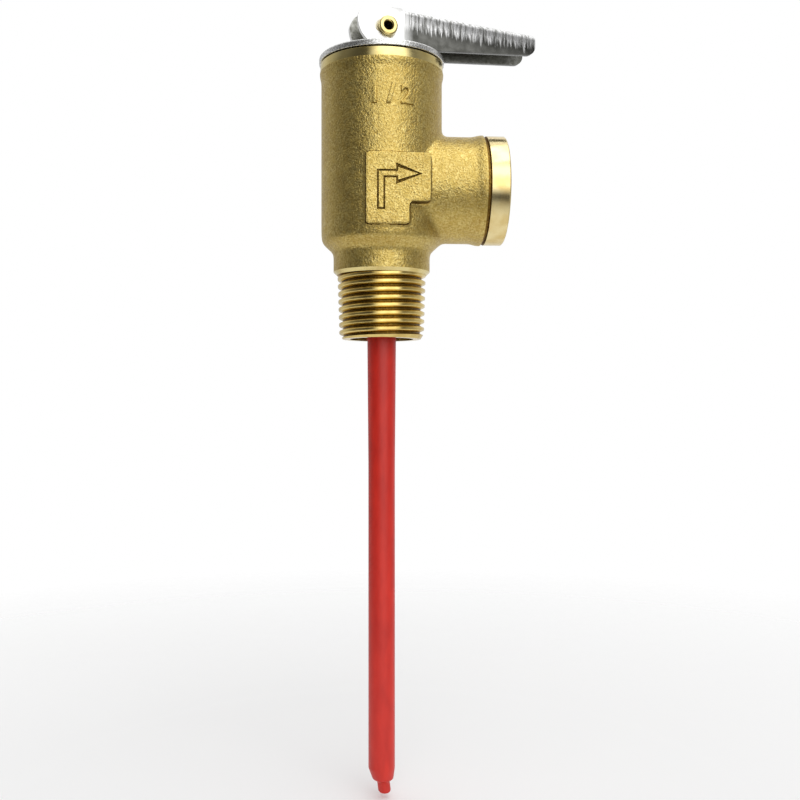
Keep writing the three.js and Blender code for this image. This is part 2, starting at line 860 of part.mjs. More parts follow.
function probeHead() {
  const guide = pistonRadius + turnGap;
  return named('probe_head', turned([
    [headSocket, sleeveTop + looseGap],
    [headTubeRadius, sleeveTop + looseGap],
    [headTubeRadius, headFlangeBottom],
    [headFlangeRadius, headFlangeBottom],
    [headFlangeRadius, headFlangeTop],
    [guide + headNoseWall, headFlangeTop],
    [guide + headNoseWall, headFlangeTop + headNoseHeight],
    [guide, headFlangeTop + headNoseHeight],
    [guide, capsuleTop + faceGap],
    [headSocket, capsuleTop + faceGap],
  ], smallFacets), turnedBrass());
}

function probeSpider() {
  const hub = headTubeRadius + faceGap;
  const bottom = spiderTop - spiderThickness;
  let solid = disc(hub + spiderHubWall, bottom, spiderTop, smallFacets);
  const reach = inletRadius - faceGap;
  for (let i = 0; i < spiderArms; i += 1) {
    const arm = box(reach / 2, 0, (bottom + spiderTop) / 2, reach, spiderArmWidth, spiderThickness);
    solid = solid.add(arm.rotate([0, 0, (360 / spiderArms) * i + spiderTurn]));
  }
  const inBore = disc(reach, bottom, spiderTop);
  const hubBore = disc(hub, bottom - over, spiderTop + over, smallFacets);
  return named('probe_spider', solid.intersect(inBore).subtract(hubBore),
    turnedBrass());
}

const snapRing = () => named('snap_ring',
  openRing(inletRadius + snapGrooveDepth - faceGap - snapRingWall, inletRadius + snapGrooveDepth - faceGap,
    snapRingTop - snapRingThickness, snapRingTop), springSteel());

// ---- assembly ----

const valve = new THREE.Group();

valve.add(valveBody(), topCap(), capGasket(), stemBush(), stemSeal(), glandWasher(), settingScrew(), lockRing());
valve.add(springTopWasher(), pressureSpring(), springBottomCup());
valve.add(discHolder(), seatWasher(), washerPlate(), washerScrew(), stemClip());
valve.add(probeSpider(), snapRing(), probeHead(), probeCapsule(), probeSleeve());
valve.add(waxCharge(), waxPlug(), slipDisc(), piston());

// the stem turns with the lever, so both stand at the lever's angle
const swivel = new THREE.Group();
swivel.rotation.z = leverTurn * degree;
swivel.add(stem());

const tilting = new THREE.Group();
tilting.position.z = pivotHeight;
tilting.add(named('lever', leverSolid(), polishedSteel()), named('lever_pin', leverPin(), turnedBrass()));
swivel.add(tilting);
valve.add(swivel);

export default valve;
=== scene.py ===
import json
import math

import bmesh
import bpy
from mathutils import Matrix, Vector


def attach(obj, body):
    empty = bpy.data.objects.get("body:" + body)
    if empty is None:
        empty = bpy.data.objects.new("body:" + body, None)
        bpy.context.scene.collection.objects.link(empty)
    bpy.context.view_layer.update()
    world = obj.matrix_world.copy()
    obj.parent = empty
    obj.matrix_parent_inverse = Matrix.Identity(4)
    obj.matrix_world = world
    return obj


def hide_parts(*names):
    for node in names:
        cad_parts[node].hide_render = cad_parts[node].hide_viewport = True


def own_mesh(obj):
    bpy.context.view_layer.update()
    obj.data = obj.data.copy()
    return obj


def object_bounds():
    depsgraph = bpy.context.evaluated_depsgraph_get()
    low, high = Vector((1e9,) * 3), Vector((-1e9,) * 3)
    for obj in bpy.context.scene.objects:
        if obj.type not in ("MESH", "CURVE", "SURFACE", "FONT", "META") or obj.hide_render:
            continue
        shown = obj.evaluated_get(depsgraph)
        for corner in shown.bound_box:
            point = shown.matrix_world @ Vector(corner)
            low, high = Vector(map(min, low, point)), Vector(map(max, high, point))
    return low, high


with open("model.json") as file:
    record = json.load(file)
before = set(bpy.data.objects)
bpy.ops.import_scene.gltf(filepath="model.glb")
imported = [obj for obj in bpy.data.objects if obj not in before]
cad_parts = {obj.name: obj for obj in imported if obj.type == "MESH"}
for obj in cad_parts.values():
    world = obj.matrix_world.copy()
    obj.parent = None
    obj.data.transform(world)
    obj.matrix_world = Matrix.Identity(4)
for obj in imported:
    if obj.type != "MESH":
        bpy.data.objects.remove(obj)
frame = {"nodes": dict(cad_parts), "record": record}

mm = 0.001
fullTurn = 2 * math.pi
joints = {joint["name"]: joint for joint in frame["record"]["behaviour"]["joints"]}


def plainBounds():
    low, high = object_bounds()
    return [list(map(float, low)), list(map(float, high))]


cadBounds = plainBounds()
print("frame loaded")


def linearColour(hexColour):
    channels = [int(hexColour[i:i + 2], 16) / 255 for i in (1, 3, 5)]
    return [c / 12.92 if c <= 0.04045 else ((c + 0.055) / 1.055) ** 2.4 for c in channels] + [1.0]


def addNode(tree, kind, links=None, inputs=None, **settings):
    node = tree.nodes.new(kind)
    for name, value in settings.items():
        setattr(node, name, value)
    for name, value in (inputs or {}).items():
        node.inputs[name].default_value = value
    for name, source in (links or {}).items():
        tree.links.new(source, node.inputs[name])
    return node


def newMaterial(name, colour, metallic, roughness, **sockets):
    material = bpy.data.materials.new(name)
    material.use_nodes = True
    shader = material.node_tree.nodes["Principled BSDF"]
    shader.inputs["Base Color"].default_value = linearColour(colour)
    shader.inputs["Metallic"].default_value = metallic
    shader.inputs["Roughness"].default_value = roughness
    for socket, value in sockets.items():
        shader.inputs[socket.replace("_", " ")].default_value = value
    return material, material.node_tree, shader


def millimetres(tree, turn=0.0, stretch=(1, 1, 1)):  # object coordinates in mm, turned and stretched
    place = addNode(tree, "ShaderNodeTexCoord")
    mapping = addNode(tree, "ShaderNodeMapping", {"Vector": place.outputs["Object"]})
    mapping.inputs["Rotation"].default_value = (0, 0, turn)
    mapping.inputs["Scale"].default_value = [1000 * s for s in stretch]
    return mapping.outputs["Vector"]


def noise(tree, vector, grain, detail=2.0, roughness=0.5):  # grain is the pattern's size in mm
    return addNode(tree, "ShaderNodeTexNoise", {"Vector": vector},
                   {"Scale": 1 / grain, "Detail": detail, "Roughness": roughness}).outputs["Fac"]


def spread(tree, value, low, high, to=(0.0, 1.0)):
    return addNode(tree, "ShaderNodeMapRange", {"Value": value},
                   {"From Min": low, "From Max": high, "To Min": to[0], "To Max": to[1]}).outputs["Result"]


def mixColour(tree, factor, first, second):
    node = addNode(tree, "ShaderNodeMix", {0: factor}, data_type="RGBA")
    for socket, colour in ((6, first), (7, second)):
        if isinstance(colour, str):
            node.inputs[socket].default_value = linearColour(colour)
        else:
            tree.links.new(colour, node.inputs[socket])
    return node.outputs[2]


def calculate(tree, operation, first, second):
    node = addNode(tree, "ShaderNodeMath", operation=operation)
    for socket, value in enumerate((first, second)):
        if isinstance(value, (int, float)):
            node.inputs[socket].default_value = value
        else:
            tree.links.new(value, node.inputs[socket])
    return node.outputs[0]


def bump(tree, shader, height, depth):  # depth in mm
    node = addNode(tree, "ShaderNodeBump", {"Height": height}, {"Distance": depth * mm, "Strength": 1.0})
    tree.links.new(node.outputs["Normal"], shader.inputs["Normal"])


# where the lever turns, and which way it points

leverAxis = joints["lever_lift"]["axis"]
leverTurn = math.atan2(leverAxis[0], -leverAxis[1])
pivot = Vector(joints["lever_lift"]["pos_m"])

# the finishes: pattern sizes and depths are in mm

forgedLook = {"colour": "#C9AE5C", "dull": "#97793A", "bright": "#E6D48E", "roughness": (0.3, 0.44),
              "grain": 0.42, "mottle": 1.3, "cloud": 6.0, "lumps": 0.7, "depth": 0.15}


def forgedBrass():
    # forged and tumbled: a fine even pebble grain, darker in the hollows, half matt
    look = forgedLook
    material, tree, shader = newMaterial("forgedBrass", look["colour"], 1.0, look["roughness"][0])
    place = millimetres(tree)
    grain = noise(tree, place, look["grain"], 2.0, 0.6)
    mottle = noise(tree, place, look["mottle"], 3.0)
    cloud = noise(tree, place, look["cloud"], 2.0)
    tone = mixColour(tree, spread(tree, grain, 0.35, 0.65), look["dull"], look["bright"])
    even = mixColour(tree, spread(tree, mottle, 0.35, 0.7, (0.35, 0.75)), tone, look["colour"])
    warm = mixColour(tree, spread(tree, cloud, 0.4, 0.75, (0.0, 0.3)), even, look["dull"])
    tree.links.new(warm, shader.inputs["Base Color"])
    tree.links.new(spread(tree, mottle, 0.3, 0.7, look["roughness"]), shader.inputs["Roughness"])
    height = calculate(tree, "ADD", grain, calculate(tree, "MULTIPLY", mottle, look["lumps"]))
    bump(tree, shader, height, look["depth"])
    return material


turnedLook = {"colour": "#E4D292", "stain": "#C9AE60", "roughness": (0.13, 0.24), "lines": 0.22,
              "across": 0.12, "patch": 3.5, "depth": 0.006}


def turnedBrass(name, axis, colour=turnedLook["colour"], stain=turnedLook["stain"]):
    # turned on a lathe: bright, with fine tool lines round the axis, drawn coarser than real so they show
    look = turnedLook
    material, tree, shader = newMaterial(name, colour, 1.0, look["roughness"][0])
    fine = [look["across"]] * 3
    fine[axis] = 1 / look["lines"]
    lines = noise(tree, millimetres(tree, stretch=fine), 1.0, 3.0, 0.7)
    patch = noise(tree, millimetres(tree), look["patch"], 2.0)
    tree.links.new(mixColour(tree, spread(tree, patch, 0.4, 0.7, (0.0, 0.6)), colour, stain),
                   shader.inputs["Base Color"])
    tree.links.new(spread(tree, lines, 0.3, 0.7, look["roughness"]), shader.inputs["Roughness"])
    bump(tree, shader, lines, look["depth"])
    return material


# the ears' colour is a painted highlight, the white of the upper streaks is a painted reflection, and the
# dark lower colours are painted shade
platedLook = {"colour": "#D9D9D6", "earHighlight": "#F1F1EF", "streaksAndSheen": ("#A8A8A4", "#FFFFFF"),
              "paintedShadeBelow": ("#4E4E4A", "#6A6A66"), "roughness": 0.2, "earRoughness": 0.4, "streak": 0.6,
              "streakStart": 3.5, "streakFade": 1.9, "ragged": 7.0, "slope": 0.035, "earEnd": 3.5,
              "earFade": 3, "cloud": 2.2, "scratch": 0.16, "depth": 0.03}


def platedSteel(turn):
    # pressed sheet with bright plating: the die drags upright streaks down from the bends. Painted reflection
    # makes the upper streaks white, painted shade darkens the lower cheek, and the ears are painted
    # near-white as a highlight
    look = platedLook
    material, tree, shader = newMaterial("platedSteel", look["colour"], 1.0, look["roughness"])
    drag = noise(tree, millimetres(tree, turn, (1, 1, 0.1)), look["streak"], 4.0, 0.65)
    fine = noise(tree, millimetres(tree, turn, (1, 1, 0.35)), look["scratch"], 2.0)
    cloud = noise(tree, millimetres(tree, turn), look["cloud"], 3.0)
    place = addNode(tree, "ShaderNodeSeparateXYZ", {"Vector": millimetres(tree, turn)}).outputs
    ragged = calculate(tree, "ADD", place["Z"], calculate(tree, "MULTIPLY", drag, look["ragged"]))
    sloped = calculate(tree, "ADD", ragged, calculate(tree, "MULTIPLY", place["X"], look["slope"]))
    start = pivot.z / mm + look["streakStart"]
    # above this mask the streaks turn white as a painted reflection; below it the cheek is painted dark as
    # shade
    upper = spread(tree, sloped, start, start + look["streakFade"])
    handle = spread(tree, place["X"], look["earEnd"], look["earEnd"] + look["earFade"])
    streaksAndSheen = mixColour(tree, spread(tree, drag, 0.4, 0.54), *look["streaksAndSheen"])
    paintedShadeBelow = mixColour(tree, spread(tree, cloud, 0.35, 0.7), *look["paintedShadeBelow"])
    streaksSheenAndShade = mixColour(tree, upper, paintedShadeBelow, streaksAndSheen)
    # near the pivot the ears take the near-white painted highlight colour
    tree.links.new(mixColour(tree, handle, look["earHighlight"], streaksSheenAndShade), shader.inputs["Base Color"])
    roughness = spread(tree, handle, 0, 1, (look["earRoughness"], look["roughness"]))
    tree.links.new(roughness, shader.inputs["Roughness"])
    marks = calculate(tree, "MULTIPLY", calculate(tree, "MULTIPLY", drag, upper), handle)
    height = calculate(tree, "ADD", marks, calculate(tree, "MULTIPLY", fine, 0.2))
    bump(tree, shader, height, look["depth"])
    return material


capLook = {"colour": "#D9D9D5", "dark": "#ACACA6", "bright": "#FFFFFF", "roughness": (0.22, 0.38),
           "grain": 0.3, "cloud": 2.0, "depth": 0.02}


def capSteel():
    # zinc plated disc: a sheared, slightly rough edge and a satin face
    look = capLook
    material, tree, shader = newMaterial("capSteel", look["colour"], 1.0, look["roughness"][0])
    grain = noise(tree, millimetres(tree), look["grain"], 3.0, 0.6)
    cloud = noise(tree, millimetres(tree), look["cloud"], 2.0)
    tone = mixColour(tree, spread(tree, grain, 0.4, 0.62), look["dark"], look["bright"])
    tree.links.new(tone, shader.inputs["Base Color"])
    tree.links.new(spread(tree, cloud, 0.3, 0.7, look["roughness"]), shader.inputs["Roughness"])
    bump(tree, shader, grain, look["depth"])
    return material


sleeveLook = {"colour": "#CE2615", "deep": "#BC1D0E", "roughness": (0.36, 0.5), "ripple": 2.4,
              "speck": 0.3, "depth": 0.02}


def redSleeve():
    # soft red plastic drawn over the tube: satin, with faint ripples along it
    look = sleeveLook
    material, tree, shader = newMaterial("redSleeve", look["colour"], 0.0, look["roughness"][0], IOR=1.5)
    ripple = noise(tree, millimetres(tree, stretch=(1, 1, 0.3)), look["ripple"], 2.0)
    speck = noise(tree, millimetres(tree), look["speck"], 2.0)
    tree.links.new(mixColour(tree, spread(tree, ripple, 0.35, 0.7), look["colour"], look["deep"]),
                   shader.inputs["Base Color"])
    tree.links.new(spread(tree, speck, 0.3, 0.7, look["roughness"]), shader.inputs["Roughness"])
    height = calculate(tree, "ADD", ripple, calculate(tree, "MULTIPLY", speck, 0.3))
    bump(tree, shader, height, look["depth"])
    return material


def grainedMaterial(name, first, second, metallic, roughness, grain, depth, stretch=(1, 1, 1)):
    material, tree, shader = newMaterial(name, first, metallic, roughness)
    pattern = noise(tree, millimetres(tree, stretch=stretch), grain, 3.0)
    tone = mixColour(tree, spread(tree, pattern, 0.35, 0.65), first, second)
    tree.links.new(tone, shader.inputs["Base Color"])
    shine = spread(tree, pattern, 0.3, 0.7, (roughness * 0.8, roughness * 1.25))
    tree.links.new(shine, shader.inputs["Roughness"])
    bump(tree, shader, pattern, depth)
    return material


materials = {
    "forged": forgedBrass(),
    "turned": turnedBrass("turnedBrass", 2),
    "faced": turnedBrass("facedBrass", 0, "#EBD8A0", "#CFAF62"),
    "thread": turnedBrass("threadBrass", 2, "#E4CB80", "#B59650"),
    "plated": platedSteel(-leverTurn),
    "cap": capSteel(),
    "red": redSleeve(),
    # painted shade for the forging's crevices: the pad's side walls and the arrow groove's floor are painted
    # darker
    "creviceShade": grainedMaterial("forgedCreviceShade", "#6E5626", "#4C3A16", 1.0, 0.5, 0.5, 0.03),
    # painted shade in the sunk line before the outlet's band: browner and darker than the tumbled faces
    "grooveShade": grainedMaterial("forgedGrooveShade", "#8E6E30", "#6E5424", 1.0, 0.45, 0.5, 0.02),
    # thread roots: a darker, duller brass
    "root": grainedMaterial("threadRoot", "#7A5E28", "#574118", 1.0, 0.38, 0.4, 0.01),
    # inside faces of the pressed sheet: duller plating, painted darker as the shade that falls between the
    # ears
    "inner": grainedMaterial("innerFaceShade", "#9A9A94", "#77776F", 1.0, 0.4, 0.9, 0.01),
    # the pin's drilled bore: dull, and painted dark, partly as the shade deep in the hole and partly as oily
    # grime
    "bore": grainedMaterial("boreShadeAndGrime", "#4A3A18", "#2E2410", 0.6, 0.6, 0.3, 0.01),
    # drawn and oiled wire: dark, with lines along it
    "spring": grainedMaterial("springSteel", "#8C8C8A", "#6E6E6C", 1.0, 0.3, 0.5, 0.008, (1, 1, 3)),
    # drawn tube, faintly tarnished
    "copper": grainedMaterial("drawnCopper", "#C98458", "#A8643E", 1.0, 0.3, 0.8, 0.005, (1, 1, 0.2)),
    # moulded seal rubber: black and matt
    "rubber": grainedMaterial("sealRubber", "#1E1E1E", "#2B2B2B", 0.0, 0.7, 0.3, 0.01),
    # turned acetal bush
    "acetal": grainedMaterial("acetal", "#ECECE6", "#DEDED6", 0.0, 0.45, 0.6, 0.006, (0.2, 0.2, 2)),
    # soft thermal wax
    "wax": grainedMaterial("thermalWax", "#D9C79A", "#C7B27E", 0.0, 0.55, 1.2, 0.02),
}
print("materials made")


def filleted(corners):  # corners are (radius, height) or (radius, height, round), rounded by arcs
    points = []
    count = len(corners)
    for i, corner in enumerate(corners):
        here = Vector(corner[:2])
        size = corner[2] if len(corner) > 2 else 0
        if size == 0:
            points.append(here)
            continue
        before = (Vector(corners[i - 1][:2]) - here).normalized()
        after = (Vector(corners[(i + 1) % count][:2]) - here).normalized()
        half = math.acos(max(-1, min(1, before.dot(after)))) / 2
        reach = size / math.tan(half)
        centre = here + (before + after).normalized() * (size / math.sin(half))
        start = here + before * reach - centre
        end = here + after * reach - centre
        steps = max(2, round(math.degrees(math.pi - 2 * half) / 15))
        sweep = start.angle_signed(end)
        for step in range(steps + 1):
            points.append(centre + Matrix.Rotation(-sweep * step / steps, 2) @ start)
    return points


weld = {"doubles": 1e-4, "slivers": 1e-5, "axis": 1e-6, "sharp": 32}


def finishedObject(name, bm, finishes):
    bmesh.ops.remove_doubles(bm, verts=bm.verts, dist=weld["doubles"])
    bmesh.ops.dissolve_degenerate(bm, edges=bm.edges, dist=weld["slivers"])
    bmesh.ops.recalc_face_normals(bm, faces=bm.faces)
    mesh = bpy.data.meshes.new(name)
    bm.to_mesh(mesh)
    bm.free()
    piece = bpy.data.objects.new(name, mesh)
    bpy.context.scene.collection.objects.link(piece)
    for finish in finishes:
        mesh.materials.append(materials[finish])
    shadeByAngle(mesh, weld["sharp"])
    return piece


def shadeByAngle(mesh, degrees):
    bm = bmesh.new()
    bm.from_mesh(mesh)
    for face in bm.faces:
        face.smooth = True
    for edge in bm.edges:
        edge.smooth = len(edge.link_faces) == 2 and edge.calc_face_angle(0) < math.radians(degrees)
    bm.to_mesh(mesh)
    bm.free()


def spun(name, corners, finishes=("turned",), steps=128):
    # a turned solid about Z in mm: a profile that ends on the axis, or a closed ring section
    bm = bmesh.new()
    points = filleted(corners)
    verts = [bm.verts.new((p.x, 0, p.y)) for p in points]
    onAxis = abs(points[0].x) < weld["axis"] and abs(points[-1].x) < weld["axis"]
    edges = [bm.edges.new(pair) for pair in zip(verts, verts[1:])]
    if not onAxis:
        edges.append(bm.edges.new((verts[-1], verts[0])))
    bmesh.ops.spin(bm, geom=verts + edges, cent=(0, 0, 0), axis=(0, 0, 1), angle=fullTurn, steps=steps,
                   use_merge=True)
    return finishedObject(name, bm, finishes)


def cylinder(name, radius, bottom, top, steps=128):
    return spun(name, [(0, bottom), (radius, bottom), (radius, top), (0, top)], steps=steps)


def extruded(name, outline, start, end, finishes=("turned",)):
    # an outline in X and Z, made thick from y = start to y = end
    bm = bmesh.new()
    face = bm.faces.new([bm.verts.new((x, start, z)) for x, z in outline])
    grown = bmesh.ops.extrude_face_region(bm, geom=[face])["geom"]
    moved = [v for v in grown if isinstance(v, bmesh.types.BMVert)]
    bmesh.ops.translate(bm, verts=moved, vec=(0, end - start, 0))
    return finishedObject(name, bm, finishes)


def block(name, x, z, y):  # from the first value to the second along each axis
    return extruded(name, [(x[0], z[0]), (x[1], z[0]), (x[1], z[1]), (x[0], z[1])], *y)


def placed(piece, matrix):
    piece.data.transform(matrix)
    return piece


def applied(piece):  # the piece's modifiers become its mesh
    graph = bpy.context.evaluated_depsgraph_get()
    mesh = bpy.data.meshes.new_from_object(piece.evaluated_get(graph))
    piece.modifiers.clear()
    piece.data = mesh
    return piece


def combined(piece, tool, operation):  # UNION, DIFFERENCE or INTERSECT, which uses the tool up
    modifier = piece.modifiers.new("combine", "BOOLEAN")
    modifier.operation = operation
    modifier.object = tool
    modifier.solver = "MANIFOLD"
    applied(piece)
    bpy.data.objects.remove(tool)
    return piece


def remeshed(piece, voxel, rounds, factor=0.5):
    grid = piece.modifiers.new("grid", "REMESH")
    grid.mode = "VOXEL"
    grid.voxel_size = voxel
    soft = piece.modifiers.new("soft", "SMOOTH")
    soft.factor = factor
    soft.iterations = rounds
    return applied(piece)


# the crevice finish is painted shade
bodyFinishes = ("forged", "turned", "faced", "creviceShade", "root", "thread", "grooveShade")


def finishFaces(piece, finish, finishes=bodyFinishes):
    piece.data.materials.clear()
    for name in finishes:
        piece.data.materials.append(materials[name])
    for face in piece.data.polygons:
        face.material_index = finishes.index(finish)
    return piece


def refinish(piece, finish, chosen, finishes=bodyFinishes):  # only the faces that chosen picks
    for face in piece.data.polygons:
        if chosen(face):
            face.material_index = finishes.index(finish)


def toScene(piece, body, nodes, sharp=weld["sharp"]):  # from mm to metres, then on to its body
    placed(piece, Matrix.Scale(mm, 4))
    shadeByAngle(piece.data, sharp)
    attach(piece, body)
    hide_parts(*nodes)


# valve body

body = {
    "radius": 14.3, "neckRadius": 11.43, "neckBottom": 15.1, "neckTop": 20.3, "neckRound": 0.5,
    "shoulderTop": 24.3, "shoulderFall": 1.6, "shoulderInset": 0.2, "shoulderRounds": (1.2, 1.5),
    "rawTop": 62.6, "beadRadius": 14.68, "beadFoot": 1.5, "beadHeight": 0.9,
    "top": 64.5, "rimRadius": 14.5, "rimInset": 0.06, "rimFoot": (0.12, 0.35), "rimRound": 0.05,
    "lip": 0.2, "lipEdge": (0.18, 0.15), "lipWidth": 0.5, "neckChamfer": (0.95, 0.85),
    "outletHeight": 35.5, "outletNeck": 12.52, "flare": 1.2, "flareRound": 0.8,
    "ridgeRadius": 13.0, "ridgeRound": 0.4, "ridge": (22.7, 23.6),
    "bandRadius": 12.8, "bandGroove": (0.72, 0.85), "grooveDepth": 0.7, "bandRound": 0.1, "bandEdge": 0.3,
    "outletReach": 28.9, "outletBore": 9.32, "outletDepth": 13.0, "passage": 7.5, "passageStart": 8,
    "chamber": 11.0, "chamberRound": 0.6, "upperBore": 12.0, "upperStep": 56.4, "floor": 21.0,
    "inlet": 7.5, "inletTop": 9.9, "throat": 6.9, "throatTaper": 0.9, "ringGroove": (6.6, 7.6),
    "ringDepth": 0.4, "orifice": 6.0, "seat": 24.0, "seatWidth": 1, "seatRound": 0.1, "seatFall": 1,
    "nozzle": 7.8, "nozzleRound": 0.4, "rimSunk": 0.5, "chamferPast": (0.1, 2), "grooveReach": 1.2,
    "bandSteps": 160, "sharp": 34,
    "roughVoxel": 0.5, "roughRounds": 12, "fineVoxel": 0.3, "fineRounds": 3,
    "spare": 1,  # how far a solid runs past the cut that ends it
}
pad = {"left": -4.4, "right": 10.4, "bottom": 24.9, "top": 41.1, "notchLeft": 5.6, "notchTop": 30.0,
       "front": -14.8, "back": -6, "round": 0.8, "sideReach": 0.7, "sideTop": 0.4, "sideTilt": 0.62,
       "sideDepth": 0.86}
arrow = {"left": -1.83, "right": 0.07, "foot": 28.1, "middle": 36.14, "half": 0.95, "headBack": 2.46,
         "headHalf": 2.4, "tip": 8.47, "groove": 0.46, "depth": 0.45, "slant": 2.2, "wallTilt": 0.5}
thread = {"pitch": 1.814, "depth": 1.0, "major": 10.478, "length": 15.1, "taper": 32, "crest": 0.28,
          "root": 0.78, "rootShare": 0.85, "sunk": 0.4, "fillet": 0.06, "crestRound": (0.1, 0.04),
          "start": -1.2, "endChamfer": (0.75, 1.3), "endRound": 0.1, "runOut": 0.9, "overlap": 0.6,
          "clear": 0.05, "past": 0.5, "rootFrom": 0.5, "steps": 96, "turns": 10}
socket = {"widen": 1.2, "chamfer": 1.1, "depth": 0.95, "foot": 0.7, "crest": 0.12, "sunk": 0.3, "first": 2.2,
          "turns": 7, "mouth": 0.1, "past": 2}
mark = {"text": "1/2", "height": 4.1, "capShare": 0.7, "x": 1.4, "z": 54.0, "proud": 0.5, "spacing": 1.5,
        "bold": 0.04, "bevel": 0.24, "depth": 1.2}


def towardsOutlet(piece):
    turn = Matrix.Rotation(math.pi / 2, 4, "Y")
    return placed(piece, Matrix.Translation((0, 0, body["outletHeight"])) @ turn)


def padOutline(inset=0.0):
    p = pad
    return filleted([
        (p["left"] + inset, p["bottom"] + inset, p["round"]),
        (p["notchLeft"] - inset, p["bottom"] + inset, p["round"]),
        (p["notchLeft"] - inset, p["notchTop"] + inset, p["round"]),
        (p["right"] - inset, p["notchTop"] + inset, p["round"]),
        (p["right"] - inset, p["top"] - inset, p["round"]),
        (p["left"] + inset, p["top"] - inset, p["round"]),
    ])


def arrowOutline(inset=0.0):
    a = arrow
    slant = inset * a["slant"]
    return [
        (a["left"] + inset, a["foot"] + inset),
        (a["right"] - inset, a["foot"] + inset),
        (a["right"] - inset, a["middle"] - a["half"] + inset),
        (a["headBack"] + inset, a["middle"] - a["half"] + inset),
        (a["headBack"] + inset, a["middle"] - a["headHalf"] + slant),
        (a["tip"] - slant, a["middle"]),
        (a["headBack"] + inset, a["middle"] + a["headHalf"] - slant),
        (a["headBack"] + inset, a["middle"] + a["half"] - inset),
        (a["left"] + inset, a["middle"] + a["half"] - inset),
    ]


def sizeMark():  # the generic size, raised on the body's front and bent round it
    curve = bpy.data.curves.new("sizeMark", "FONT")
    curve.body = mark["text"]
    curve.size = mark["height"] / mark["capShare"]
    curve.space_character = mark["spacing"]
    curve.align_x, curve.align_y = "CENTER", "CENTER"
    curve.extrude = mark["depth"]
    curve.bevel_depth = mark["bevel"]
    curve.bevel_resolution = 1
    curve.offset = mark["bold"]
    text = bpy.data.objects.new("sizeMark", curve)
    bpy.context.scene.collection.objects.link(text)
    graph = bpy.context.evaluated_depsgraph_get()
    letters = bpy.data.meshes.new_from_object(text.evaluated_get(graph))
    bpy.data.objects.remove(text)
    bm = bmesh.new()
    bm.from_mesh(letters)
    bmesh.ops.remove_doubles(bm, verts=bm.verts, dist=1e-4)
    for vert in bm.verts:
        angle = (vert.co.x + mark["x"]) / body["radius"]
        radius = body["radius"] + mark["proud"] + vert.co.z - mark["depth"] - mark["bevel"]
        vert.co = (radius * math.sin(angle), -radius * math.cos(angle), mark["z"] + vert.co.y)
    return finishedObject("sizeMark", bm, ("forged",))


def rawForging():
    b = body
    below = b["neckBottom"] - b["spare"]
    above = b["rawTop"] + b["spare"]
    raw = spun("forging", [
        (0, below), (b["neckRadius"], below), (b["neckRadius"], b["neckTop"], b["neckRound"]),
        (b["radius"] - b["shoulderInset"], b["shoulderTop"] - b["shoulderFall"], b["shoulderRounds"][0]),
        (b["radius"], b["shoulderTop"], b["shoulderRounds"][1]), (b["radius"], b["rawTop"] - b["beadFoot"]),
        (b["beadRadius"], b["rawTop"] - b["beadHeight"]), (b["beadRadius"], above), (0, above),
    ], ("forged",))
    past = b["ridge"][1] + b["spare"]
    outlet = towardsOutlet(spun("outletNeck", [
        (0, 0), (b["outletNeck"], 0), (b["outletNeck"], b["ridge"][0] - b["flare"], b["flareRound"]),
        (b["ridgeRadius"], b["ridge"][0], b["ridgeRound"]), (b["ridgeRadius"], past), (0, past),
    ], ("forged",)))
    combined(raw, outlet, "UNION")
    remeshed(raw, b["roughVoxel"], b["roughRounds"])
    outline = [(p.x, p.y) for p in padOutline()]
    combined(raw, extruded("pad", outline, pad["front"], pad["back"], ("forged",)), "UNION")
    remeshed(raw, b["fineVoxel"], b["fineRounds"])
    combined(raw, sizeMark(), "UNION")
    finishFaces(raw, "forged")
    # the pad's side walls are painted darker as shade
    refinish(raw, "creviceShade", onPadSide)
    return raw


def onPadSide(face):
    p = pad
    x, y, z = face.center
    across = p["left"] - p["sideReach"] < x < p["right"] + p["sideReach"]
    along = p["bottom"] - p["sideReach"] < z < p["top"] + p["sideTop"]
    return across and along and y < -body["radius"] * p["sideDepth"] and abs(face.normal.y) < p["sideTilt"]


def trimmed(piece, point, normal):  # cut flat, keeping what is behind the normal
    bm = bmesh.new()
    bm.from_mesh(piece.data)
    cut = bmesh.ops.bisect_plane(bm, geom=bm.verts[:] + bm.edges[:] + bm.faces[:], plane_co=point,
                                 plane_no=normal, clear_outer=True)["geom_cut"]
    edges = [e for e in cut if isinstance(e, bmesh.types.BMEdge)]
    bmesh.ops.contextual_create(bm, geom=edges)
    bm.to_mesh(piece.data)
    bm.free()
    return piece


def helix(bm, section, pitch, steps, turns):  # a closed thread section wound about Z
    face = bm.faces.new([bm.verts.new((r, 0, z)) for r, z in section])
    bmesh.ops.spin(bm, geom=[face, *face.verts, *face.edges], cent=(0, 0, 0), axis=(0, 0, 1),
                   dvec=(0, 0, pitch / steps), angle=fullTurn * turns, steps=steps * turns,
                   use_duplicate=False)


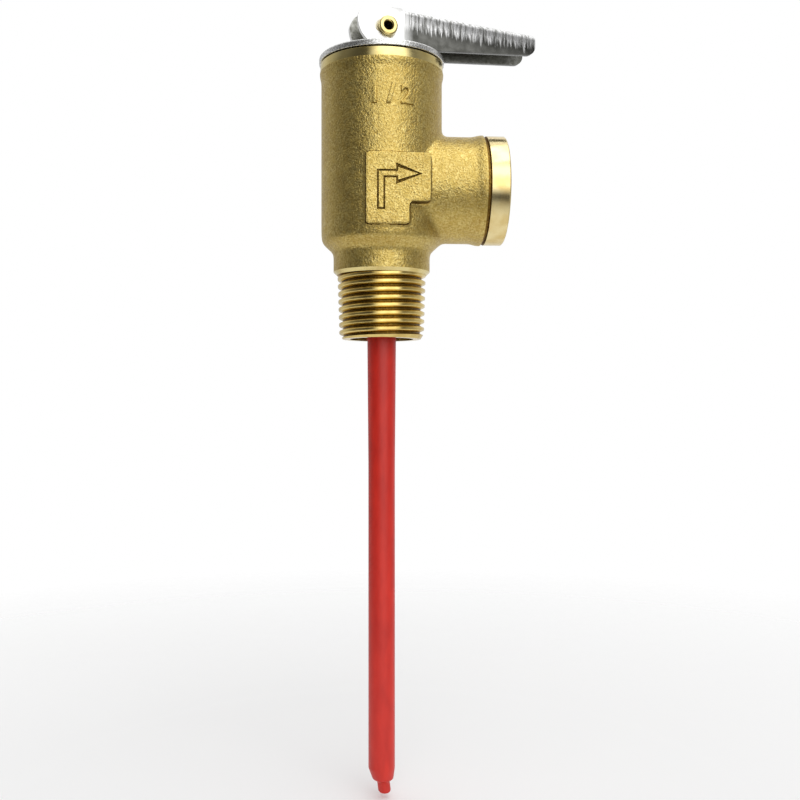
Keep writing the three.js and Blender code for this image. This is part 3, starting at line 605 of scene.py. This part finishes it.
def threadedEnd():
    t = thread
    root = t["major"] - t["depth"]
    top = t["length"] + t["overlap"]
    core = spun("threadCore", [(0, 0), (root - t["length"] / t["taper"], 0), (root, top), (0, top)])
    widen, narrow = t["crestRound"]
    half = [(root - t["sunk"], t["root"]), (root + t["fillet"], t["root"]),
            (t["major"] - widen, t["crest"] + widen), (t["major"], t["crest"] - narrow)]
    section = [(r, -z) for r, z in half] + half[::-1]
    bm = bmesh.new()
    helix(bm, [(r, z + t["start"]) for r, z in section], t["pitch"], t["steps"], t["turns"])
    for vert in bm.verts:  # the taper
        radius = math.hypot(vert.co.x, vert.co.y)
        thinner = (t["length"] - vert.co.z) / t["taper"] / radius
        vert.co.x -= vert.co.x * thinner
        vert.co.y -= vert.co.y * thinner
    combined(core, finishedObject("threadTooth", bm, ("turned",)), "UNION")
    crest = t["major"] - t["length"] / t["taper"]
    chamferIn, chamferUp = t["endChamfer"]
    clear = t["clear"]  # the envelope's gap off the crests
    above = t["length"] + t["past"]
    combined(core, spun("threadEnd", [
        (0, 0), (crest - chamferIn, 0, t["endRound"]), (crest + clear, chamferUp),
        (t["major"] + clear, t["length"] - t["runOut"]), (t["major"] + clear, above), (0, above),
    ]), "INTERSECT")
    finishFaces(core, "thread")
    refinish(core, "root", inThreadRoot)
    return core


def inThreadRoot(face):
    t = thread
    x, y, z = face.center
    deep = t["major"] - (t["length"] - z) / t["taper"] - math.hypot(x, y)
    return z > t["rootFrom"] and deep > t["depth"] * t["rootShare"]


def outletThread():  # the cutter for the socket and its thread
    b = body
    s = socket
    start = b["outletReach"] - b["outletDepth"]
    mouth = b["outletBore"] + s["widen"]
    past = b["outletReach"] + s["past"]
    inner = b["outletBore"]
    bore = spun("socket", [
        (0, b["passageStart"]), (b["passage"], b["passageStart"]), (b["passage"], start), (inner, start),
        (inner, b["outletReach"] - s["chamfer"]), (mouth, b["outletReach"] + s["mouth"]), (mouth, past),
        (0, past),
    ])
    half = [(inner - s["sunk"], s["foot"]), (inner, s["foot"]), (inner + s["depth"], s["crest"])]
    section = [(r, -z) for r, z in half] + half[::-1]
    bm = bmesh.new()
    wound = [(r, start + s["first"] + z) for r, z in section]
    helix(bm, wound, thread["pitch"], thread["steps"], s["turns"])
    return towardsOutlet(combined(bore, finishedObject("socketThread", bm, ("turned",)), "UNION"))


def onBandGroove(face):
    b = body
    beyond = face.center.x - b["ridge"][1]
    inward = b["bandRadius"] - math.hypot(face.center.y, face.center.z - b["outletHeight"])
    slack = 0.01
    return -slack < beyond < b["bandGroove"][1] - slack and 2 * slack < inward < b["grooveReach"]


def valveBody():
    b = body
    raw = rawForging()
    raw = trimmed(raw, (0, 0, b["neckBottom"]), (0, 0, -1))
    raw = trimmed(raw, (0, 0, b["rawTop"]), (0, 0, 1))
    raw = trimmed(raw, (b["ridge"][1], 0, b["outletHeight"]), (1, 0, 0))

    def machined(piece, finish, operation):
        return combined(raw, finishFaces(piece, finish), operation)

    foot = b["rimRadius"] - b["rimInset"]
    lipTop = b["top"] + b["lip"]
    lipInside = b["rimRadius"] - b["lipWidth"]
    sunk = b["rawTop"] - b["rimSunk"]
    machined(spun("rim", [
        (0, sunk), (foot, sunk), (foot, b["rawTop"] + b["rimFoot"][0]),
        (b["rimRadius"], b["rawTop"] + b["rimFoot"][1]),
        (b["rimRadius"], lipTop - b["lipEdge"][1], b["rimRound"]),
        (b["rimRadius"] - b["lipEdge"][0], lipTop, b["rimRound"]), (lipInside, lipTop),
        (lipInside, b["top"]), (0, b["top"]),
    ]), "turned", "UNION")

    chamferIn, chamferUp = b["neckChamfer"]
    near, far = b["chamferPast"]
    low = b["neckBottom"] - near
    high = b["neckBottom"] + chamferUp
    machined(spun("neckChamfer", [
        (b["neckRadius"] + near, high), (b["neckRadius"] - chamferIn, low), (b["neckRadius"] + far, low),
        (b["neckRadius"] + far, high),
    ]), "turned", "DIFFERENCE")
    combined(raw, threadedEnd(), "UNION")

    sunk = b["bandRadius"] - b["grooveDepth"]
    reach = b["outletReach"]
    machined(towardsOutlet(spun("outletBand", [
        (0, b["ridge"][1] - b["spare"]), (sunk, b["ridge"][1] - b["spare"]),
        (sunk, b["ridge"][1] + b["bandGroove"][0]),
        (b["bandRadius"], b["ridge"][1] + b["bandGroove"][1], b["bandRound"]),
        (b["bandRadius"], reach - b["bandEdge"], b["bandRound"]),
        (b["bandRadius"] - b["bandEdge"], reach, b["bandRound"]), (0, reach),
    ], ("faced",), b["bandSteps"])), "faced", "UNION")

    machined(spun("inletBore", [
        (0, -b["spare"]), (b["inlet"], -b["spare"]), (b["inlet"], b["ringGroove"][0]),
        (b["inlet"] + b["ringDepth"], b["ringGroove"][0]), (b["inlet"] + b["ringDepth"], b["ringGroove"][1]),
        (b["inlet"], b["ringGroove"][1]), (b["inlet"], b["inletTop"]), (b["throat"], b["inletTop"]),
        (b["throat"], b["floor"] - b["throatTaper"]), (b["orifice"], b["floor"]),
        (b["orifice"], b["seat"] + b["spare"]), (0, b["seat"] + b["spare"]),
    ]), "turned", "DIFFERENCE")
    machined(spun("chamber", [
        (0, b["seat"]), (b["orifice"] + b["seatWidth"], b["seat"], b["seatRound"]),
        (b["nozzle"], b["seat"] - b["seatFall"]),
        (b["nozzle"], b["floor"], b["nozzleRound"]), (b["chamber"], b["floor"], b["chamberRound"]),
        (b["chamber"], b["upperStep"]), (b["upperBore"], b["upperStep"]),
        (b["upperBore"], b["top"] + b["spare"]), (0, b["top"] + b["spare"]),
    ]), "turned", "DIFFERENCE")
    machined(outletThread(), "faced", "DIFFERENCE")

    front = pad["front"]
    groove = extruded("groove", arrowOutline(), front - b["spare"], front + arrow["depth"])
    island = extruded("island", arrowOutline(arrow["groove"]), front - 2 * b["spare"], front + 2 * b["spare"])
    combined(groove, island, "DIFFERENCE")
    # the arrow groove's floor is painted darker as shade; its walls keep the forged finish
    finishFaces(groove, "creviceShade")
    refinish(groove, "forged", lambda face: abs(face.normal.y) < arrow["wallTilt"])  # its walls
    combined(raw, groove, "DIFFERENCE")
    # the sunk line before the outlet's band is painted darker as shade
    refinish(raw, "grooveShade", onBandGroove)
    raw.name = "valveBody"
    print("valve body triangles", sum(len(f.vertices) - 2 for f in raw.data.polygons))
    toScene(raw, "valve", ["valve_body"], b["sharp"])


valveBody()
print("valve body made")


# cap

cap = {"bottom": 64.9, "top": 66.3, "radius": 14.8, "edgeRounds": (0.12, 0.45), "flare": 1.7,
       "flareRound": 0.8, "boss": 6.4, "bossTop": 68.0, "bossRound": 0.5, "bore": 3.1, "boreRound": 0.15,
       "boreDepth": 0.3, "bushBore": 4.4, "spigot": 11.9, "spigotWall": 1, "spigotDepth": 1.0, "steps": 160}


def topCap():
    c = cap
    inside = c["spigot"] - c["spigotWall"]
    spigotEnd = c["bottom"] - c["spigotDepth"]
    boreEnd = c["bossTop"] - c["boreDepth"]
    piece = spun("topCap", [
        (c["bushBore"], c["bottom"]), (inside, c["bottom"]), (inside, spigotEnd), (c["spigot"], spigotEnd),
        (c["spigot"], c["bottom"]), (c["radius"], c["bottom"], c["edgeRounds"][0]),
        (c["radius"], c["top"], c["edgeRounds"][1]), (c["boss"] + c["flare"], c["top"], c["flareRound"]),
        (c["boss"], c["bossTop"], c["bossRound"]), (c["bore"], c["bossTop"], c["boreRound"]),
        (c["bore"], boreEnd), (c["bushBore"], boreEnd),
    ], ("cap",), c["steps"])
    toScene(piece, "valve", ["top_cap"])


topCap()


# lever, drawn along +X from its pivot; far and farEnd only say how far its cutters run past it

lever = {"inside": 3.1, "sheet": 1.2, "reach": 38.1, "top": 4.75, "topEnd": 2.6, "endDrop": 5.2,
         "endRound": 2.2, "endSweep": (-86, 0), "belly": 13, "bellyBelow": 4.1, "web": 4.3, "bend": 1.5,
         "bendWall": 0.9, "camBase": 4.4, "camRise": 1.65, "camSteps": 24, "crownRound": 1.9,
         "roundSteps": 10, "rearGap": 3, "rearSteps": 6, "pinHole": 1.9, "relief": 0.55, "reliefBack": 0.1,
         "weld": 1e-3, "flat": 0.6, "edge": 0.13, "edgeSteps": 2, "edgeAngle": 35, "innerSlack": 0.05,
         "spare": 3, "deep": 30, "far": 20, "farEnd": 60, "sharp": 30}
# inner is the darker plating painted as shade on the sheet's inside faces
leverFinishes = ("plated", "inner")


def arcPoints(x, z, radius, first, last, steps):
    angles = [math.radians(first + (last - first) * i / steps) for i in range(steps + 1)]
    return [(x + radius * math.cos(a), z + radius * math.sin(a)) for a in angles]


def camEdge():  # an involute: its reach from the pivot grows evenly with the angle
    rise = lever["camRise"]
    steps = lever["camSteps"]
    points = []
    for i in range(steps + 1):
        angle = math.pi / 2 * i / steps
        support = lever["camBase"] + rise * angle
        points.append((-support * math.sin(angle) - rise * math.cos(angle),
                       -support * math.cos(angle) + rise * math.sin(angle)))
    return points


def leverSide():
    v = lever
    cam = camEdge()
    rear = Vector(cam[-1])
    crownReach = rear.length - v["crownRound"]
    crownZ = v["top"] - v["crownRound"]
    crownX = -math.sqrt(crownReach ** 2 - crownZ ** 2)
    crownAngle = math.degrees(math.atan2(crownZ, crownX))
    rearAngle = math.degrees(math.atan2(rear.y, rear.x))
    endX = v["reach"] - v["endRound"]
    endZ = v["topEnd"] - v["endDrop"] + v["endRound"]
    return [
        *cam[::-1],
        (v["belly"], -v["bellyBelow"]),
        *arcPoints(endX, endZ, v["endRound"], *v["endSweep"], v["roundSteps"]),
        (v["reach"], v["topEnd"]),
        (v["web"], v["top"]),
        *arcPoints(crownX, crownZ, v["crownRound"], 90, crownAngle, v["roundSteps"]),
        *arcPoints(0, 0, rear.length, crownAngle + v["rearGap"], rearAngle - v["rearGap"], v["rearSteps"]),
    ]


def channelBlock(name, half, top, rounding):  # a long bar under the sloping web, its top edges rounded
    v = lever
    length = v["reach"] - v["web"] + v["spare"]
    outline = filleted([(half, -v["deep"]), (half, top, rounding), (-half, top, rounding),
                        (-half, -v["deep"])])
    piece = extruded(name, [(p.x, p.y) for p in outline], 0, length)
    slope = math.atan2(v["top"] - v["topEnd"], v["reach"] - v["web"])
    turn = Matrix.Rotation(slope, 4, "Y") @ Matrix.Rotation(-math.pi / 2, 4, "Z")
    return placed(piece, Matrix.Translation((v["web"], 0, v["top"])) @ turn)


def crossCylinder(name, radius, x, z, half, steps=48):
    turn = Matrix.Rotation(math.pi / 2, 4, "X")
    return placed(cylinder(name, radius, -half, half, steps), Matrix.Translation((x, 0, z)) @ turn)


def testLever():
    v = lever
    outside = v["inside"] + v["sheet"]
    wide = (-v["far"], v["far"])
    ears = extruded("ears", leverSide(), -outside, outside)
    arm = extruded("arm", leverSide(), -outside, outside)
    combined(ears, block("front", (v["web"], v["farEnd"]), wide, wide), "DIFFERENCE")
    combined(ears, block("gap", wide, wide, (-v["inside"], v["inside"])), "DIFFERENCE")
    combined(arm, channelBlock("channelOutside", outside, 0, v["bend"]), "INTERSECT")
    hollow = channelBlock("channelInside", v["inside"], -v["sheet"], v["bend"] - v["bendWall"])
    combined(arm, hollow, "DIFFERENCE")
    combined(ears, arm, "UNION")
    combined(ears, crossCylinder("pinHole", v["pinHole"], 0, 0, v["far"]), "DIFFERENCE")
    relief = crossCylinder("relief", v["relief"], v["web"] - v["reliefBack"], v["top"], v["far"])
    combined(ears, relief, "DIFFERENCE")
    bm = bmesh.new()
    bm.from_mesh(ears.data)
    bmesh.ops.remove_doubles(bm, verts=bm.verts, dist=v["weld"])
    bmesh.ops.dissolve_limit(bm, angle_limit=math.radians(v["flat"]), verts=bm.verts, edges=bm.edges)
    bm.to_mesh(ears.data)
    bm.free()
    soft = ears.modifiers.new("edges", "BEVEL")
    soft.width = v["edge"]
    soft.segments = v["edgeSteps"]
    soft.limit_method = "ANGLE"
    soft.angle_limit = math.radians(v["edgeAngle"])
    soft.use_clamp_overlap = True
    applied(ears)
    finishFaces(ears, "plated", leverFinishes)
    inner = v["inside"] + v["innerSlack"]
    # the sheet's inside faces take the darker plating: painted shade
    refinish(ears, "inner", lambda face: abs(face.center.y) < inner, leverFinishes)
    ears.name = "testLever"
    placed(ears, Matrix.Translation(pivot / mm) @ Matrix.Rotation(leverTurn, 4, "Z"))
    toScene(ears, "lever", ["lever"], v["sharp"])


testLever()
print("lever made")


# lever pin and stem

pin = {"bore": 0.98, "radius": 1.75, "rim": 2.25, "half": 6.0, "rimLength": 0.9, "rimStep": 0.2,
       "rimRounds": (0.4, 0.42), "mouth": (0.3, 0.35), "mouthRounds": (0.2, 0.3), "boreSlack": 0.02,
       "steps": 72}
pinFinishes = ("turned", "bore")
stem = {"bottom": 30.3, "foot": 4.0, "footTop": 32.4, "footRound": 0.2, "radius": 2.8, "topRound": 0.9,
        "hole": 1.9, "holeHalf": 10, "steps": 72}


def leverPin():  # a tubular rivet with both ends rolled over
    p = pin
    rimStart = p["half"] - p["rimLength"]
    wider, deeper = p["mouth"]
    right = [
        (p["radius"], rimStart - p["rimStep"]), (p["rim"], rimStart, p["rimRounds"][0]),
        (p["rim"], p["half"], p["rimRounds"][1]), (p["bore"] + wider, p["half"], p["mouthRounds"][0]),
        (p["bore"], p["half"] - deeper, p["mouthRounds"][1]),
    ]
    left = [(radius, -height, *rounding) for radius, height, *rounding in reversed(right)]
    piece = spun("leverPin", left + right, pinFinishes, p["steps"])
    inner = p["bore"] + p["boreSlack"]
    # the bore's faces take the dark finish: painted shade with oily grime
    refinish(piece, "bore", lambda face: math.hypot(face.center.x, face.center.y) < inner, pinFinishes)
    turn = Matrix.Rotation(leverTurn, 4, "Z") @ Matrix.Rotation(math.pi / 2, 4, "X")
    placed(piece, Matrix.Translation(pivot / mm) @ turn)
    toScene(piece, "lever", ["lever_pin"])


def valveStem():
    s = stem
    top = pivot.z / mm + s["radius"]
    piece = spun("valveStem", [
        (0, s["bottom"]), (s["foot"], s["bottom"], s["footRound"]), (s["foot"], s["footTop"], s["footRound"]),
        (s["radius"], s["footTop"]), (s["radius"], top, s["topRound"]), (0, top),
    ], steps=s["steps"])
    hole = crossCylinder("stemHole", s["hole"], 0, pivot.z / mm, s["holeHalf"])
    placed(hole, Matrix.Rotation(leverTurn, 4, "Z"))
    combined(piece, hole, "DIFFERENCE")
    toScene(piece, "stem", ["stem"])


leverPin()
valveStem()


# probe

probe = {"tip": -107.7, "nib": 1.5, "nibTop": -104.9, "nibRounds": (0.85, 0.5), "neck": (1.0, 0.7),
         "neckRound": 0.7, "shoulder": -101.6, "shoulderRound": 1.8, "radius": 3.15, "rings": (-80, -55),
         "taperEnd": -30, "taperRound": 8, "topRadius": 3.4, "topRound": 1, "top": 2.0, "bore": 2.45,
         "endWall": 1, "lean": 0.75, "steps": 96}
head = {"socket": 2.45, "tube": 3.05, "bottom": 2.3, "flange": 4.35, "flangeBottom": 9.9,
        "flangeTop": 11.5, "nose": 2.4, "noseTop": 15.0, "guide": 1.35, "guideBottom": 6.3, "edge": 0.15,
        "flangeRound": 0.25, "noseRounds": (0.2, 0.3), "steps": 72}
spider = {"bottom": 7.6, "top": 9.8, "hubBore": 3.15, "hub": 4.55, "reach": 7.4, "arm": 1.1,
          "arms": (30, 150, 270), "armLength": 9, "tall": 20, "steps": 72}


def probeSleeve():
    p = probe
    inside = p["shoulder"] + p["endWall"]
    piece = spun("probeSleeve", [
        (0, p["tip"]), (p["nib"], p["tip"], p["nibRounds"][0]), (p["nib"], p["nibTop"], p["nibRounds"][1]),
        (p["nib"] + p["neck"][0], p["nibTop"] + p["neck"][1], p["neckRound"]),
        (p["radius"], p["shoulder"], p["shoulderRound"]), *((p["radius"], z) for z in p["rings"]),
        (p["radius"], p["taperEnd"], p["taperRound"]), (p["topRadius"], 0, p["topRound"]),
        (p["topRadius"], p["top"]), (p["bore"], p["top"]), (p["bore"], inside), (0, inside),
    ], ("red",), p["steps"])
    for vert in piece.data.vertices:  # the drawn-down end leans a little to one side
        below = max(0, p["shoulder"] - vert.co.z) / (p["shoulder"] - p["tip"])
        vert.co.x += p["lean"] * below
    toScene(piece, "valve", ["probe_sleeve"])


def probeHead():
    h = head
    piece = spun("probeHead", [
        (h["socket"], h["bottom"]), (h["tube"], h["bottom"], h["edge"]), (h["tube"], h["flangeBottom"]),
        (h["flange"], h["flangeBottom"], h["edge"]), (h["flange"], h["flangeTop"], h["flangeRound"]),
        (h["nose"], h["flangeTop"], h["noseRounds"][0]), (h["nose"], h["noseTop"], h["noseRounds"][1]),
        (h["guide"], h["noseTop"]), (h["guide"], h["guideBottom"]), (h["socket"], h["guideBottom"]),
    ], steps=h["steps"])
    toScene(piece, "valve", ["probe_head"])


def probeSpider():
    s = spider
    piece = cylinder("probeSpider", s["hub"], s["bottom"], s["top"], s["steps"])
    for turn in s["arms"]:
        arm = block("arm", (0, s["armLength"]), (s["bottom"], s["top"]), (-s["arm"], s["arm"]))
        combined(piece, placed(arm, Matrix.Rotation(math.radians(turn), 4, "Z")), "UNION")
    combined(piece, cylinder("limit", s["reach"], 0, s["tall"]), "INTERSECT")
    combined(piece, cylinder("hubBore", s["hubBore"], 0, s["tall"], s["steps"]), "DIFFERENCE")
    toScene(piece, "valve", ["probe_spider"])


probeSleeve()
probeHead()
probeSpider()
print("probe made")


# spring, its plates and the disc, which show through the outlet

spring = {"wire": 1.1, "sides": 20, "radius": 7.4, "bottom": 30.8, "top": 55.2, "turns": 6,
          "closedPitch": 2.45, "steps": 64}
holder = {"screwBore": 1.5, "screwTop": 28.9, "bottom": 26.2, "washer": 8.35, "skirt": 9.3,
          "skirtBottom": 24.9, "skirtRound": 0.2, "skirtRise": 0.8, "radius": 9.6, "top": 29.4, "boss": 5.8,
          "bossTop": 36.0, "round": 0.3, "bore": 4.3, "bossFloor": 30.0, "groove": (32.6, 33.8),
          "grooveRadius": 4.7}
cup = {"bore": 6.0, "radius": 9.6, "wallInside": 8.85, "bottom": 29.5, "floor": 30.7, "top": 31.3,
       "round": 0.2}
washer = {"bore": 3.1, "radius": 9.6, "bottom": 55.4, "top": 56.6, "round": 0.2}


def pressureSpring():  # one closed turn at each end, open turns between
    s = spring
    bm = bmesh.new()
    ring = bmesh.ops.create_circle(bm, cap_ends=True, radius=s["wire"], segments=s["sides"])["verts"]
    start = Matrix.Translation((s["radius"], 0, s["bottom"] + s["wire"]))
    bmesh.ops.transform(bm, matrix=start @ Matrix.Rotation(math.pi / 2, 4, "X"), verts=ring)
    rise = s["top"] - s["bottom"] - 2 * s["wire"]
    openTurns = s["turns"] - 2
    openPitch = (rise - 2 * s["closedPitch"]) / openTurns
    geometry = bm.verts[:] + bm.edges[:] + bm.faces[:]
    for turns, pitch in ((1, s["closedPitch"]), (openTurns, openPitch), (1, s["closedPitch"])):
        geometry = bmesh.ops.spin(bm, geom=geometry, cent=(0, 0, 0), axis=(0, 0, 1), angle=fullTurn * turns,
                                  dvec=(0, 0, pitch / s["steps"]), steps=s["steps"] * turns,
                                  use_duplicate=False)["geom_last"]
    piece = finishedObject("pressureSpring", bm, ("spring",))
    toScene(piece, "valve", ["pressure_spring"])
    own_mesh(piece)


def discHolder():
    h = holder
    low, high = h["groove"]
    piece = spun("discHolder", [
        (0, h["screwTop"]), (h["screwBore"], h["screwTop"]), (h["screwBore"], h["bottom"]),
        (h["washer"], h["bottom"]), (h["washer"], h["skirtBottom"]),
        (h["skirt"], h["skirtBottom"], h["skirtRound"]), (h["radius"], h["bottom"] + h["skirtRise"]),
        (h["radius"], h["top"], h["round"]), (h["boss"], h["top"], h["round"]),
        (h["boss"], h["bossTop"], h["round"]), (h["bore"], h["bossTop"]), (h["bore"], high),
        (h["grooveRadius"], high), (h["grooveRadius"], low), (h["bore"], low), (h["bore"], h["bossFloor"]),
        (0, h["bossFloor"]),
    ])
    toScene(piece, "disc", ["disc_holder"])


def springCup():
    c = cup
    piece = spun("springCup", [
        (c["bore"], c["bottom"]), (c["radius"], c["bottom"], c["round"]), (c["radius"], c["top"], c["round"]),
        (c["wallInside"], c["top"], c["round"]), (c["wallInside"], c["floor"]), (c["bore"], c["floor"]),
    ], ("spring",))
    toScene(piece, "disc", ["spring_bottom_cup"])


def springWasher():
    w = washer
    piece = spun("springWasher", [
        (w["bore"], w["bottom"]), (w["radius"], w["bottom"], w["round"]), (w["radius"], w["top"], w["round"]),
        (w["bore"], w["top"]),
    ], ("spring",))
    toScene(piece, "valve", ["spring_top_washer"])


pressureSpring()
discHolder()
springCup()
springWasher()
print("spring and disc made")


# CAD pieces that stay, with their finishes

keptFinishes = {
    "rubber": ("cap_gasket", "stem_oring", "seat_washer", "wax_plug"),
    "acetal": ("stem_bush", "slip_disc"),
    "spring": ("gland_washer", "washer_screw", "stem_clip", "snap_ring", "piston"),
    "turned": ("setting_screw", "lock_ring", "washer_plate"),
    "copper": ("probe_capsule",),
    "wax": ("wax_charge",),
}
for finish, nodes in keptFinishes.items():
    for node in nodes:
        data = frame["nodes"][node].data
        data.materials.clear()
        data.materials.append(materials[finish])
print("kept pieces finished")


# camera, light and floor

view = {"lens": 44.1, "place": (-0.0119, -0.2327, -0.0144), "turn": 4.0, "clip": (0.01, 10)}
light = {"ambient": 0.085, "panel": 2.0, "panelLeft": (-28, -4), "panelRight": (36, 54),
         "panelLow": (-0.3, 0.05), "panelHigh": (0.6, 0.85), "right": 0.27, "rightSpan": (45, 75),
         "left": 0.1, "leftSpan": (-50, -75), "back": 0.45, "backSpan": (-0.1, 0.6), "top": 0.5,
         "topSpan": (0.45, 0.85), "topSize": 0.5, "topPlace": (0.15, -0.2, 0.75), "topPower": 1.5,
         "topAim": (0, 0, 0.01)}
ground = {"colour": "#E8E8E8", "glow": 0.1, "radius": 0.35, "sides": 96, "drop": 0.001,
          "fade": (0.14, 0.33), "roughness": 0.9}
fading = (1.0, 0.0)


def topLight():
    lamp = bpy.data.lights.new("topLight", "AREA")
    lamp.energy = light["topPower"]
    lamp.size = light["topSize"]
    piece = bpy.data.objects.new("topLight", lamp)
    piece.location = light["topPlace"]
    aim = Vector(light["topAim"]) - Vector(light["topPlace"])
    piece.rotation_euler = aim.to_track_quat("-Z", "Y").to_euler()
    bpy.context.scene.collection.objects.link(piece)


def studio():
    camera = bpy.data.objects.new("camera", bpy.data.cameras.new("camera"))
    camera.data.lens = view["lens"]
    camera.data.clip_start, camera.data.clip_end = view["clip"]
    camera.location = view["place"]
    turn = math.radians(view["turn"])
    camera.rotation_euler = Vector((math.sin(turn), math.cos(turn), 0)).to_track_quat("-Z", "Y").to_euler()
    bpy.context.scene.collection.objects.link(camera)
    bpy.context.scene.camera = camera
    bpy.context.scene.view_settings.view_transform = "Standard"
    topLight()

    world = bpy.data.worlds.new("studio")
    bpy.context.scene.world = world
    world.use_nodes = True
    tree = world.node_tree
    coordinates = addNode(tree, "ShaderNodeTexCoord").outputs["Generated"]
    towards = addNode(tree, "ShaderNodeSeparateXYZ", {"Vector": coordinates}).outputs
    forward = calculate(tree, "MULTIPLY", towards["Y"], -1.0)
    bearing = calculate(tree, "MULTIPLY", calculate(tree, "ARCTAN2", towards["X"], forward), 180 / math.pi)
    panel = spread(tree, bearing, *light["panelLeft"])
    for value, ends in ((bearing, light["panelRight"]), (towards["Z"], light["panelHigh"])):
        panel = calculate(tree, "MULTIPLY", panel, spread(tree, value, *ends, fading))
    panel = calculate(tree, "MULTIPLY", panel, spread(tree, towards["Z"], *light["panelLow"]))
    strength = calculate(tree, "MULTIPLY_ADD", panel, light["panel"])
    strength.node.inputs[2].default_value = light["ambient"]
    parts = {"right": bearing, "left": bearing, "back": towards["Y"], "top": towards["Z"]}
    for side, value in parts.items():
        part = calculate(tree, "MULTIPLY", spread(tree, value, *light[side + "Span"]), light[side])
        strength = calculate(tree, "ADD", strength, part)
    seen = addNode(tree, "ShaderNodeLightPath").outputs["Is Camera Ray"]
    strength = addNode(tree, "ShaderNodeMix", {0: seen, 2: strength}, {3: 1.0}).outputs[0]
    background = tree.nodes["Background"]
    background.inputs["Color"].default_value = (1, 1, 1, 1)
    tree.links.new(strength, background.inputs["Strength"])

    bm = bmesh.new()
    bmesh.ops.create_circle(bm, cap_ends=True, radius=ground["radius"], segments=ground["sides"])
    bmesh.ops.translate(bm, verts=bm.verts, vec=(0, 0, cadBounds[0][2] - ground["drop"]))
    mesh = bpy.data.meshes.new("floor")
    bm.to_mesh(mesh)
    bm.free()
    floor = bpy.data.objects.new("floor", mesh)
    bpy.context.scene.collection.objects.link(floor)
    material, tree, shader = newMaterial("paleFloor", ground["colour"], 0.0, ground["roughness"])
    place = addNode(tree, "ShaderNodeTexCoord").outputs["Object"]
    distance = addNode(tree, "ShaderNodeVectorMath", {0: place}, operation="LENGTH").outputs["Value"]
    tree.links.new(spread(tree, distance, *ground["fade"], fading), shader.inputs["Alpha"])
    shader.inputs["Emission Color"].default_value = (1, 1, 1, 1)
    shader.inputs["Emission Strength"].default_value = ground["glow"]
    mesh.materials.append(material)


studio()

print("scene made")
